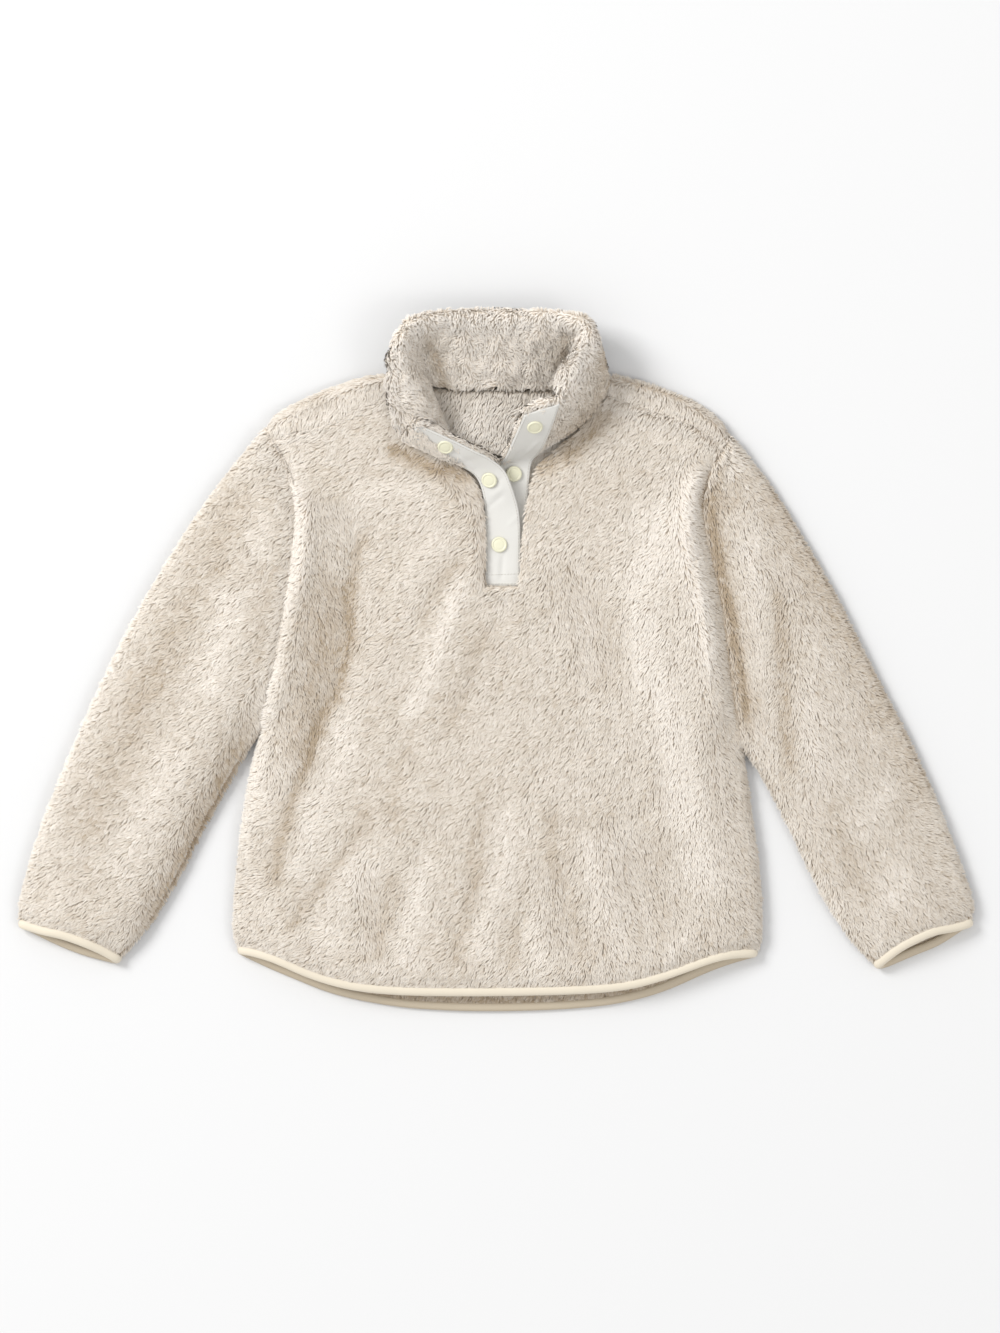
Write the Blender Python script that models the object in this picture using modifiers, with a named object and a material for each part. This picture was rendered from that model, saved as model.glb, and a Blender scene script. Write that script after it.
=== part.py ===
# Sherpa fleece pullover with a stand collar and a snap placket, laid out on its back.
# Sizes are in millimetres until a mesh is made. The floor is z = 0, +Y runs from hem to neck,
# and left and right are the viewer's. The back lies on the floor, the front lies on the back.

from collections import namedtuple
from math import pi

import bmesh
import bpy
import numpy as np
from mathutils import Vector

for old in list(bpy.data.objects):
    bpy.data.objects.remove(old)
HOME = bpy.data.collections.new("sherpa_pullover")
bpy.context.scene.collection.children.link(HOME)

METRE = 0.001

# Driving sizes
WALL = 8.0               # knitted ground and pile together
BOUND_WALL = 5.5         # the same, pressed flat where a binding grips it
SEAM = 0.3               # gap between pieces that are sewn together
LAYER_GAP = 0.4          # between the back's inside and the front's inside
MIDDLE = WALL + LAYER_GAP / 2
TOP_ROLL = 13.0          # how far in from a fold the upper layer rounds over
FLOOR_ROLL = 9.0         # the same below, where the cloth meets the floor
PUFF = 3.0               # the upper layer's loft away from its folds
PUFF_REACH = 45.0
LEAST_PUFF = 0.2         # where a trough would otherwise sink through the lower layer
SEAM_DENT = 0.6          # share of the loft that a sewn line takes away
SEAM_DENT_REACH = 9.0
MOUTH_LIFT = 6.5         # how far the front stands off the back at hem and cuffs
MOUTH_REACH = 80.0
MOUTH_CALM = 0.5         # share of the folds that the mouths flatten
PRESS_REACH = 14.0
BINDING_WIDTH = 8.6
STRIP_THICK = 2.0
SEAM_FORWARD = 15.0      # how far the back comes over the shoulder at the armhole
FOLD_STEPS = (0.0, 1.5, 4.5, 9.0, SEAM_FORWARD)
UNDERARM_LEVEL = -95.0   # where rows that start at the underarm cross the middle of the body
UNDERARM_TURN = -60.0    # the same for the row one fold's width above it

Colour = namedtuple("Colour", "red green blue rough")
FLEECE = Colour(0.78, 0.73, 0.66, 0.95)
BINDING = Colour(0.76, 0.70, 0.58, 0.8)
TWILL = Colour(0.84, 0.82, 0.77, 0.75)
SNAP = Colour(0.80, 0.79, 0.62, 0.35)

Spot = namedtuple("Spot", "x y")

# Outline of each side, from the middle outwards or from the top down
Side = namedtuple("Side", "name body_edge armhole sleeve_outer sleeve_inner shoulder seam "
                          "neck_top neck_back cuff_front cuff_back slit")

LEFT = Side(
    name="left",
    body_edge=[Spot(-267, -298), Spot(-272, -284), Spot(-270, -236), Spot(-264, -177),
               Spot(-256, -127), Spot(-249, -86), Spot(-243, -73)],
    armhole=[Spot(-243, -73), Spot(-236, -43), Spot(-227, -1), Spot(-218, 51), Spot(-211, 103),
             Spot(-207, 145), Spot(-208, 176), Spot(-215, 202), Spot(-229, 223), Spot(-238, 241)],
    sleeve_outer=[Spot(-238, 241), Spot(-260, 218), Spot(-289, 180), Spot(-320, 136),
                  Spot(-357, 76), Spot(-401, -6), Spot(-436, -84), Spot(-468, -161),
                  Spot(-486, -212), Spot(-495, -256), Spot(-494, -270)],
    sleeve_inner=[Spot(-243, -73), Spot(-250, -84), Spot(-264, -101), Spot(-280, -133),
                  Spot(-302, -168), Spot(-321, -209), Spot(-343, -249), Spot(-372, -292),
                  Spot(-389, -309)],
    shoulder=[Spot(-88, 293), Spot(-108, 296), Spot(-135, 293), Spot(-159, 285), Spot(-183, 277),
              Spot(-206, 266), Spot(-227, 254), Spot(-238, 241)],
    seam=[Spot(-139, 266), Spot(-166, 248), Spot(-190, 240), Spot(-212, 236)],
    neck_top=[Spot(-88, 293), Spot(-85, 280), Spot(-80, 261), Spot(-71, 241), Spot(-59.5, 218.5),
              Spot(-46, 203.5), Spot(-27, 196)],
    neck_back=[Spot(-88, 293), Spot(-80, 286), Spot(-52, 281.6), Spot(7, 281.4)],
    cuff_front=[Spot(-494, -270), Spot(-484, -273.5), Spot(-468, -278), Spot(-449, -282), Spot(-426, -290),
                Spot(-406, -299), Spot(-389, -309)],
    cuff_back=[Spot(-494, -270), Spot(-484, -273.5), Spot(-457, -287), Spot(-430, -298),
               Spot(-409, -304), Spot(-389, -309)],
    slit=[Spot(-12, 75), Spot(-12, 124), Spot(-12.5, 155), Spot(-17, 176), Spot(-27, 196)],
)
RIGHT = Side(
    name="right",
    body_edge=[Spot(271, -301), Spot(276, -284), Spot(274, -229), Spot(266, -165),
               Spot(261, -133), Spot(257, -110), Spot(256, -93)],
    armhole=[Spot(256, -93), Spot(251, -58), Spot(245, -17), Spot(239, 35), Spot(229, 87),
             Spot(218, 129), Spot(215, 155), Spot(219, 186), Spot(231, 212), Spot(243, 232)],
    sleeve_outer=[Spot(243, 232), Spot(267, 209), Spot(291, 172), Spot(319, 123), Spot(353, 67),
                  Spot(395, -21), Spot(436, -97), Spot(466, -171), Spot(490, -228),
                  Spot(496, -256), Spot(493, -269)],
    sleeve_inner=[Spot(256, -93), Spot(262, -97), Spot(272, -113), Spot(287, -139),
                  Spot(312, -190), Spot(334, -236), Spot(360, -280), Spot(376, -301),
                  Spot(392, -315)],
    shoulder=[Spot(115, 295), Spot(138, 291), Spot(168, 282), Spot(203, 268), Spot(230, 250),
              Spot(243, 232)],
    seam=[Spot(137, 266), Spot(160, 259), Spot(186, 250), Spot(212, 240)],
    neck_top=[Spot(115, 295), Spot(113, 279), Spot(106, 260), Spot(94, 244), Spot(79, 230),
              Spot(60, 215), Spot(41, 199)],
    neck_back=[Spot(115, 295), Spot(104, 287), Spot(67, 281.6), Spot(7, 281.4)],
    cuff_front=[Spot(493, -269), Spot(483, -272.5), Spot(469, -275.5), Spot(451, -279), Spot(431, -288),
                Spot(415, -297), Spot(392, -315)],
    cuff_back=[Spot(493, -269), Spot(483, -272.5), Spot(473, -279), Spot(456, -290), Spot(428, -301),
               Spot(408, -310), Spot(392, -315)],
    slit=[Spot(26, 75), Spot(29, 124), Spot(33, 160), Spot(37, 180), Spot(41, 199)],
)
MIDDLE_X = 7.0           # centre of the placket, and of both hems
SLIT_FOOT = 75.0
HEM_MIDDLE = -341.0      # the front's hem at the middle
HEM_FRONT = [Spot(-267, -298), Spot(-254, -300), Spot(-228, -307), Spot(-199, -321),
             Spot(-157, -334), Spot(-100, -340), Spot(7, HEM_MIDDLE), Spot(119, -337),
             Spot(171, -326), Spot(212, -311), Spot(241, -302), Spot(271, -301)]
HEM_BACK = [Spot(-267, -298), Spot(-240, -311), Spot(-204, -326), Spot(-167, -340),
            Spot(-112, -351), Spot(-58, -356), Spot(7, -357), Spot(88, -354), Spot(142, -346),
            Spot(179, -335), Spot(215, -319), Spot(245, -308), Spot(271, -301)]

# Soft folds of the upper layer: a crest or trough through three places
Fold = namedtuple("Fold", "x0 y0 x1 y1 x2 y2 width height")
FOLD_START = 0.04        # shares along a fold where its height starts, and stops falling
FOLD_STOP = 0.8
FOLDS = [
    Fold(-183, 165, -214, -43, -243, -230, 26, 6.0),
    Fold(-129, 103, -162, -63, -199, -230, 22, -3.0),
    Fold(-22, 66, -35, 20, -53, -63, 20, 3.0),
    Fold(-43, 119, -100, 61, -126, -22, 20, 2.5),
    Fold(-69, -105, -110, -209, -134, -335, 20, 4.5),
    Fold(-11, -126, -43, -219, -74, -340, 19, 4.5),
    Fold(9, -188, 4, -251, -3, -342, 18, 3.0),
    Fold(51, -126, 54, -219, 69, -340, 20, 4.5),
    Fold(93, -136, 115, -219, 147, -333, 20, 4.5),
    Fold(191, 124, 212, -63, 246, -251, 28, 6.0),
    Fold(139, 61, 160, -43, 181, -167, 20, 2.5),
    Fold(-157, -157, -172, -199, -199, -251, 18, 3.0),
    Fold(-201, 197, -198, 124, -214, 20, 14, 3.0),
    Fold(202, 197, 203, 103, 220, 20, 15, 3.5),
    Fold(-271, 186, -370, -1, -464, -209, 20, 3.0),
    Fold(-243, 103, -292, -63, -391, -282, 24, 5.0),
    Fold(259, 165, 280, 20, 290, -105, 20, 5.0),
    Fold(347, 41, 347, -84, 379, -199, 22, 3.5),
    Fold(420, -147, 425, -219, 441, -282, 18, 3.0),
]

# Collar: sections of the middle of its wall, from the left end round the back of the neck to the
# right end. Each runs from the neckline towards its knee, then bends over to the rim.
Rib = namedtuple("Rib", "x y z knee_x knee_y knee_z rim_x rim_y rim_z thick")
COLLAR = [
    Rib(2, 207, 31, -40, 229, 46, -82, 247, 52, 6),
    Rib(-16, 205, 25.5, -53, 222, 37, -89, 239, 41, 6.5),
    Rib(-31, 204, 20, -64, 215, 29, -95, 231, 29, 7),
    Rib(-38, 209, 17, -69, 220, 27, -101, 238, 27.5, 8),
    Rib(-46, 220, 14, -68, 229, 34, -104, 250, 32, 11),
    Rib(-56, 238, 12, -67, 245, 42, -106, 268, 37, 16),
    Rib(-65, 258, 12, -72, 261, 46, -106, 287, 41, 18),
    Rib(-71, 272, 11, -77, 279, 46, -104, 306, 45, 18),
    Rib(-74, 283, 13.5, -84, 310, 26, -98, 329, 46, 18),
    Rib(-61, 285, 9.6, -76, 320, 11, -85, 345, 42, 18),
    Rib(-44, 282.4, 8.2, -52, 312, 10, -58, 352, 36, 18),
    Rib(-16, 282.2, 8.2, -18, 310, 10, -22, 353, 33, 18),
    Rib(16, 282.2, 8.2, 17, 310, 10, 20, 353, 33, 18),
    Rib(50, 282.4, 8.2, 54, 312, 10, 60, 352, 37, 18),
    Rib(78, 285, 9.4, 84, 320, 10, 86, 348, 45, 19),
    Rib(98, 287, 12.5, 105, 308, 29, 96, 334, 54, 20),
    Rib(104, 280, 11, 113, 290, 44, 90, 318, 59, 20),
    Rib(98, 266, 12, 107, 273, 48, 81, 304, 63, 20),
    Rib(87, 252, 12, 97, 261, 52, 74, 294, 66, 19),
    Rib(71, 239, 12, 81, 250, 54, 69, 285, 67.5, 17),
    Rib(54, 227, 12, 65, 240, 52, 66, 277, 68, 13),
    Rib(39, 216, 13, 54, 232, 46, 64, 269, 68, 9),
    Rib(22, 211, 15, 35, 231, 44, 47, 263, 67, 8),
    Rib(5, 206, 17, 17, 229, 42, 29, 257, 66, 7),
]
STRIP_RIBS = 2           # sections that a strip spans, at either end of the collar

# Edges of the placket strips below the collar
Place = namedtuple("Place", "x y z")
OVER_FAR = [Place(-11.3, 76, 12.3), Place(-11.3, 100, 12.3), Place(-11.3, 128, 12.3),
            Place(-11.5, 152, 13), Place(-14, 174, 17), Place(-22, 191, 20.5)]
OVER_FRONT = [Place(25.4, 76, 12.3), Place(25.4, 100, 12.3), Place(25.4, 128, 12.6),
              Place(23.5, 154, 16), Place(16.5, 178, 25), Place(8, 196, 30.5)]
UNDER_LEFT = [Place(-9, 77, 9.8), Place(-6, 100, 9.8), Place(-3, 124, 9.8), Place(0, 150, 9.9),
              Place(1, 175, 11), Place(2, 199, 14.3)]
UNDER_RIGHT = [Place(25.2, 77, 9.8), Place(26.5, 100, 9.8), Place(27.8, 124, 9.8),
               Place(30.5, 150, 9.9), Place(33.5, 174, 11), Place(36.5, 203, 14.3)]

# Snaps: where each sits on its strip, as shares along the strip and across it, and how far
# its flat back stands off the strip's middle, more where the strip bends beneath it
Snap = namedtuple("Snap", "name strip along across lift")
SNAPS = [
    Snap("snap_cap_1", "placket_over", 0.83, 0.62, 0.4),
    Snap("snap_cap_2", "placket_over", 0.53, 0.40, 1.0),
    Snap("snap_cap_3", "placket_over", 0.20, 0.40, 0.4),
    Snap("snap_stud_1", "placket_under", 0.89, 0.5, 0.4),
    Snap("snap_stud_2", "placket_under", 0.555, 0.50, 1.2),
]


class Track:
    """A smooth curve through a few points, read by the distance along it."""

    def __init__(self, points, steps=10):
        knots = np.array(points, float)
        padded = np.vstack([2 * knots[0] - knots[1], knots, 2 * knots[-1] - knots[-2]])
        t = np.linspace(0, 1, steps, endpoint=False)[:, None]
        runs = []
        for a, b, c, d in zip(padded, padded[1:], padded[2:], padded[3:]):
            bend = (2 * a - 5 * b + 4 * c - d) * t ** 2 + (3 * b - a - 3 * c + d) * t ** 3
            runs.append(b + 0.5 * ((c - a) * t + bend))
        self.points = np.vstack(runs + [knots[-1:]])
        gaps = np.linalg.norm(np.diff(self.points, axis=0), axis=1)
        self.reach = np.concatenate([[0.0], np.cumsum(gaps)])
        self.length = self.reach[-1]

    def at(self, distance):
        columns = [np.interp(distance, self.reach, column) for column in self.points.T]
        return np.stack(columns, axis=-1)

    def share(self, share):
        return self.at(np.asarray(share) * self.length)


def smooth(value):
    value = np.clip(value, 0.0, 1.0)
    return value * value * (3 - 2 * value)


def unit(vectors):
    return vectors / np.maximum(np.linalg.norm(vectors, axis=-1, keepdims=True), 1e-9)


def nearest(places, line):
    """Distance from each place to a line, and how far along the line, from 0 to 1."""
    start, step = line[:-1], np.diff(line, axis=0)
    offset = places[..., None, :] - start
    share = np.clip((offset * step).sum(-1) / (step * step).sum(-1), 0, 1)
    gap = np.linalg.norm(offset - share[..., None] * step, axis=-1)
    best = gap.argmin(-1)
    picked = np.take_along_axis(gap, best[..., None], -1)[..., 0]
    along = (best + np.take_along_axis(share, best[..., None], -1)[..., 0]) / len(step)
    return picked, along


def inner_step(distance):
    """Where the inside of a folded wall lies, for a place that far from the fold outside."""
    distance = np.asarray(distance, float)
    reach = FOLD_STEPS[-1]
    return np.where(distance < reach, WALL + distance * (reach - WALL) / reach, distance)


# Lines that shape the heights
FOLD_LINES = [Track(getattr(side, edge)).points
              for side in (LEFT, RIGHT)
              for edge in ("body_edge", "sleeve_inner", "sleeve_outer", "shoulder")]
MOUTH_TOPS = [Track(LEFT.cuff_front).points, Track(RIGHT.cuff_front).points,
              Track(HEM_FRONT).points]
MOUTH_FLOORS = [Track(LEFT.cuff_back).points, Track(RIGHT.cuff_back).points,
                Track(HEM_BACK).points]
FOLD_TRACKS = [Track([(f.x0, f.y0), (f.x1, f.y1), (f.x2, f.y2)], 6).points for f in FOLDS]
SEWN = [Track(edge).points for side in (LEFT, RIGHT) for edge in (side.armhole, side.neck_top)]


def closest(places, lines):
    return np.min([nearest(places, line)[0] for line in lines], axis=0)


def lift(places):
    """How far the upper layer stands off the lower one."""
    loft = np.full(places.shape[:-1], PUFF)
    for fold, track in zip(FOLDS, FOLD_TRACKS):
        gap, along = nearest(places, track)
        within = np.clip(along, FOLD_START, FOLD_STOP) / (FOLD_START + FOLD_STOP)
        taper = np.sqrt(np.sin(pi * within))
        loft = loft + fold.height * np.exp(-(gap / fold.width) ** 2) * taper
    crease = closest(places, SEWN)
    dent = SEAM_DENT * np.exp(-(crease / SEAM_DENT_REACH) ** 2)
    loft = np.maximum(loft, LEAST_PUFF) * (1 - dent)
    edge = smooth(closest(places, FOLD_LINES) / PUFF_REACH)
    mouth = 1 - smooth(closest(places, MOUTH_TOPS) / MOUTH_REACH)
    return (loft * (1 - MOUTH_CALM * mouth) + MOUTH_LIFT * mouth) * edge


def pressed(places, mouths):
    grip = 1 - smooth(closest(places, mouths) / PRESS_REACH)
    return (WALL - BOUND_WALL) * grip


def roll(places, reach):
    inward = np.clip(closest(places, FOLD_LINES) / reach, 0, 1)
    return np.sqrt(1 - (1 - inward) ** 2)


def top_outside(places):
    rise = (WALL - pressed(places, MOUTH_TOPS) + LAYER_GAP / 2) * roll(places, TOP_ROLL)
    return MIDDLE + rise + lift(places)


def top_inside(places):
    return MIDDLE + LAYER_GAP / 2 * roll(places, TOP_ROLL) + lift(places)


def floor_outside(places):
    return MIDDLE * (1 - roll(places, FLOOR_ROLL))


def floor_inside(places):
    sunk = LAYER_GAP / 2 * roll(places, FLOOR_ROLL)
    return MIDDLE - sunk - pressed(places, MOUTH_FLOORS) * roll(places, TOP_ROLL)


def spread(near, far, left, right, across, along):
    """Plan of a panel between its near and far edges and the two rails at its sides."""
    a = across[..., None]
    b = along[..., None]
    ends = near(0.0), near(1.0), far(0.0), far(1.0)
    across_part = (1 - b) * near(across) + b * far(across)
    along_part = (1 - a) * left[:, None, :] + a * right[:, None, :]
    corners = (1 - b) * ((1 - a) * ends[0] + a * ends[1]) + b * ((1 - a) * ends[2] + a * ends[3])
    return across_part + along_part - corners


def raised(plan, height):
    return np.concatenate([plan, height(plan)[..., None]], axis=-1)


def material(name, colour):
    made = bpy.data.materials.new(name)
    made.use_nodes = True
    shader = made.node_tree.nodes["Principled BSDF"]
    shader.inputs["Base Color"].default_value = (colour.red, colour.green, colour.blue, 1.0)
    shader.inputs["Roughness"].default_value = colour.rough
    shader.inputs["Metallic"].default_value = 0.0
    return made


def finish(name, points, faces, colour):
    """Make one object from points in millimetres, with its faces turned outwards."""
    used = sorted({corner for face in faces for corner in face})
    order = {old: new for new, old in enumerate(used)}
    mesh = bpy.data.meshes.new(name)
    mesh.from_pydata([tuple(points[old] * METRE) for old in used], [],
                     [[order[corner] for corner in face] for face in faces])
    shape = bmesh.new()
    shape.from_mesh(mesh)
    bmesh.ops.recalc_face_normals(shape, faces=shape.faces)
    shape.to_mesh(mesh)
    shape.free()
    mesh.shade_smooth()
    mesh.materials.append(material(name, colour))
    made = bpy.data.objects.new(name, mesh)
    HOME.objects.link(made)
    return made


def shell(name, outer, inner, colour, present=None, closed=False):
    """A wall between two grids of points, closed by a rim along every free edge."""
    rows, columns = outer.shape[:2]
    index = np.arange(rows * columns).reshape(rows, columns)
    if closed:
        index = np.hstack([index, index[:, :1]])
    faces = []
    for r in range(rows - 1):
        for c in range(index.shape[1] - 1):
            if present is None or present(r, c):
                faces.append((index[r, c], index[r, c + 1], index[r + 1, c + 1], index[r + 1, c]))
    size = rows * columns
    directed = {(face[k], face[(k + 1) % 4]) for face in faces for k in range(4)}
    rim = [(b, a, a + size, b + size) for a, b in directed if (b, a) not in directed]
    inside = [tuple(corner + size for corner in reversed(face)) for face in faces]
    points = np.vstack([outer.reshape(-1, 3), inner.reshape(-1, 3)])
    return finish(name, points, faces + inside + sorted(rim), colour)


def ring(name, loops, colour):
    """A bar bent round on itself: each loop is one section of it."""
    count, sides = loops.shape[:2]
    faces = []
    for k in range(count):
        here, there = k * sides, (k + 1) % count * sides
        for s in range(sides):
            t = (s + 1) % sides
            faces.append((here + s, here + t, there + t, there + s))
    return finish(name, loops.reshape(-1, 3), faces, colour)


# Stations: distances from the start of an edge, closer together beside its folds
def stations(length, before, middle, after):
    """before and after are steps in from each end; middle is the number of even steps."""
    inside = np.linspace(before[-1], length - after[-1], middle + 1)[1:-1]
    return np.concatenate([before, inside, length - np.array(after[::-1])])


HEM_STEPS = (0.0, 4.0, 10.0, 18.0)
UPPER_ARM_STEPS = (5, 8)         # even steps up the armhole: to the slit's foot, and above it
SLIT_ARM_HEIGHT = 75.0
LOWER_ARM_STEPS = 6
EDGE_ROWS = 8                    # rows up the side from the hem to the underarm


def armhole_top_stations(side):
    """Distances up the armhole on the upper layer, from the underarm to the shoulder fold."""
    track = Track(side.armhole)
    foot = np.interp(SLIT_ARM_HEIGHT, track.points[:, 1], track.reach)
    low = np.linspace(FOLD_STEPS[-1], foot, UPPER_ARM_STEPS[0] + 1)[1:]
    high = np.linspace(foot, track.length - FOLD_STEPS[-1], UPPER_ARM_STEPS[1] + 1)[1:]
    top = track.length - np.array(FOLD_STEPS[:-1][::-1])
    return np.concatenate([FOLD_STEPS, low, high, top])


def armhole_floor_stations(side):
    track = Track(side.armhole)
    return stations(track.length, FOLD_STEPS, LOWER_ARM_STEPS, FOLD_STEPS)


def fold_aware(line, length):
    """The same stations for the inside of the wall."""
    return np.where(line < length / 2, inner_step(line), length - inner_step(length - line))


def parted(points, gap, towards):
    """Move a line of plan points sideways by half a seam, towards a place."""
    tangent = unit(np.gradient(points, axis=0))
    normal = np.stack([-tangent[:, 1], tangent[:, 0]], axis=-1)
    facing = np.sign((normal * (towards - points)).sum(-1, keepdims=True))
    return points + normal * facing * gap


def body_rows(side):
    """Distances up the body's side edge from the hem to the underarm."""
    track = Track(side.body_edge)
    return np.concatenate([HEM_STEPS, np.linspace(HEM_STEPS[-1], track.length, EDGE_ROWS - 2)[1:]])


UNDERARM_ROW = EDGE_ROWS         # the row of either body panel that meets the underarm


def side_rail(side, arm_line):
    """Outer and inner ends of a body panel's rows: up the side edge, then up the armhole."""
    edge, arm = Track(side.body_edge), Track(side.armhole)
    low = edge.at(body_rows(side))[:-1]
    inward = np.array([-np.sign(low[0, 0]) * WALL, 0.0])
    outer = np.vstack([low, arm.at(arm_line)])
    inner = np.vstack([low + inward, arm.at(fold_aware(arm_line, arm.length))])
    return outer, inner


def row_shares(left, right, middle, turned):
    """Shares across each row of a half panel. turned rows have their wall turn under."""
    shares = []
    for width, turns in zip(np.linalg.norm(right - left, axis=1), turned):
        steps = inner_step(FOLD_STEPS) - WALL if turns else FOLD_STEPS
        shares.append(stations(width, (0.0,), middle, tuple(steps)) / width)
    return np.array(shares)


def rail_shares(rail):
    reach = np.concatenate([[0.0], np.cumsum(np.linalg.norm(np.diff(rail, axis=0), axis=1))])
    return reach / reach[-1]


FRONT_COLUMNS = 10               # even steps from the slit to where the side rounds over
SLIT_ROW = UNDERARM_ROW + len(FOLD_STEPS) - 1 + UPPER_ARM_STEPS[0]
SLIT_STEPS = 4
CHEST_ROWS = ((0, HEM_MIDDLE), (len(HEM_STEPS) - 1, HEM_MIDDLE + HEM_STEPS[-1]),
              (UNDERARM_ROW, UNDERARM_LEVEL), (UNDERARM_ROW + 4, UNDERARM_TURN),
              (SLIT_ROW, SLIT_FOOT))
NECK_SEAM_DROP = 18.0            # from the shoulder fold down the neckline to the front's corner


def centre_rail(side):
    """Inner ends of the front's rows: up the middle, up the slit, then round the neckline."""
    rows, heights = zip(*CHEST_ROWS)
    foot = side.slit[0].x
    below = [(foot, y) for y in np.interp(np.arange(SLIT_ROW + 1), rows, heights)]
    below[0] = (foot, np.interp(foot, *np.array(HEM_FRONT).T))
    slit = Track(side.slit).share(np.linspace(0, 1, SLIT_STEPS + 1)[1:])
    neck = Track(side.neck_top)
    steps = np.linspace(neck.length, NECK_SEAM_DROP, UPPER_ARM_STEPS[1] - SLIT_STEPS + 1)[1:]
    return np.vstack([below, slit, neck.at(steps)])


def shoulder_seam(side):
    """The seam on the front of the shoulder, from the neckline to the armhole."""
    neck, arm = Track(side.neck_top), Track(side.armhole)
    ends = neck.at(NECK_SEAM_DROP), arm.at(arm.length - SEAM_FORWARD)
    return Track([tuple(ends[0]), *side.seam, tuple(ends[1])])


def seam_shares(side):
    """Shares along the shoulder's front seam, the same for both panels that it joins."""
    length = shoulder_seam(side).length
    return stations(length, (0.0,), FRONT_COLUMNS, FOLD_STEPS) / length


def front_half(side):
    arm_line = armhole_top_stations(side)[:-(len(FOLD_STEPS) - 1)]
    outer_rail, inner_rail = side_rail(side, arm_line)
    centre = centre_rail(side)
    hem = Track(HEM_FRONT)
    start = np.interp(side.slit[0].x, hem.points[:, 0], hem.reach)
    finish_at = 0.0 if side is LEFT else hem.length
    seam = shoulder_seam(side)
    along = rail_shares(centre)[:, None]
    grids = []
    for rail, turned in ((outer_rail, np.zeros(len(centre), bool)),
                         (inner_rail, np.arange(len(centre)) < UNDERARM_ROW)):
        across = row_shares(centre, rail, FRONT_COLUMNS, turned)
        across[-1] = seam_shares(side)
        plan = spread(lambda a: hem.at(start + (finish_at - start) * np.asarray(a)), seam.share,
                      centre, rail, across, np.broadcast_to(along, across.shape))
        plan[0, -1] = rail[0]
        grids.append(plan)
    return grids


def build_front():
    halves = {side.name: front_half(side) for side in (LEFT, RIGHT)}
    grids = []
    for layer, height in enumerate((top_outside, top_inside)):
        sides = []
        for side in (LEFT, RIGHT):
            points = raised(halves[side.name][layer], height)
            points[..., 2] = np.maximum(points[..., 2], MIDDLE + SEAM / 2)
            arm = points[UNDERARM_ROW:, -1]
            arm[:, :2] = parted(arm[:, :2], SEAM / 2, np.array([MIDDLE_X, 0.0]))
            top = points[-1]
            top[:, :2] = parted(top[:, :2], SEAM / 2, np.array([top[0, 0] * 0.5, 0.0]))
            sides.append(points)
        left, right = sides[0][:, ::-1], sides[1]
        middle = (left[:, -1:] + right[:, :1]) / 2
        middle[..., 2] = height(middle[..., :2])
        grids.append(np.concatenate([left, middle, right], axis=1))
    slit = FRONT_COLUMNS + len(FOLD_STEPS) - 1
    shell("front", grids[0], grids[1], FLEECE,
          present=lambda r, c: r < SLIT_ROW or c not in (slit, slit + 1))
    return grids[0][0], grids[1][0]


NECK_COLUMNS = 3
NAPE_REACH = 30.0                # below the nape, where the inside's rows close up at the neck
ABOVE_NECK = 400.0               # a level above the whole garment


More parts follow.
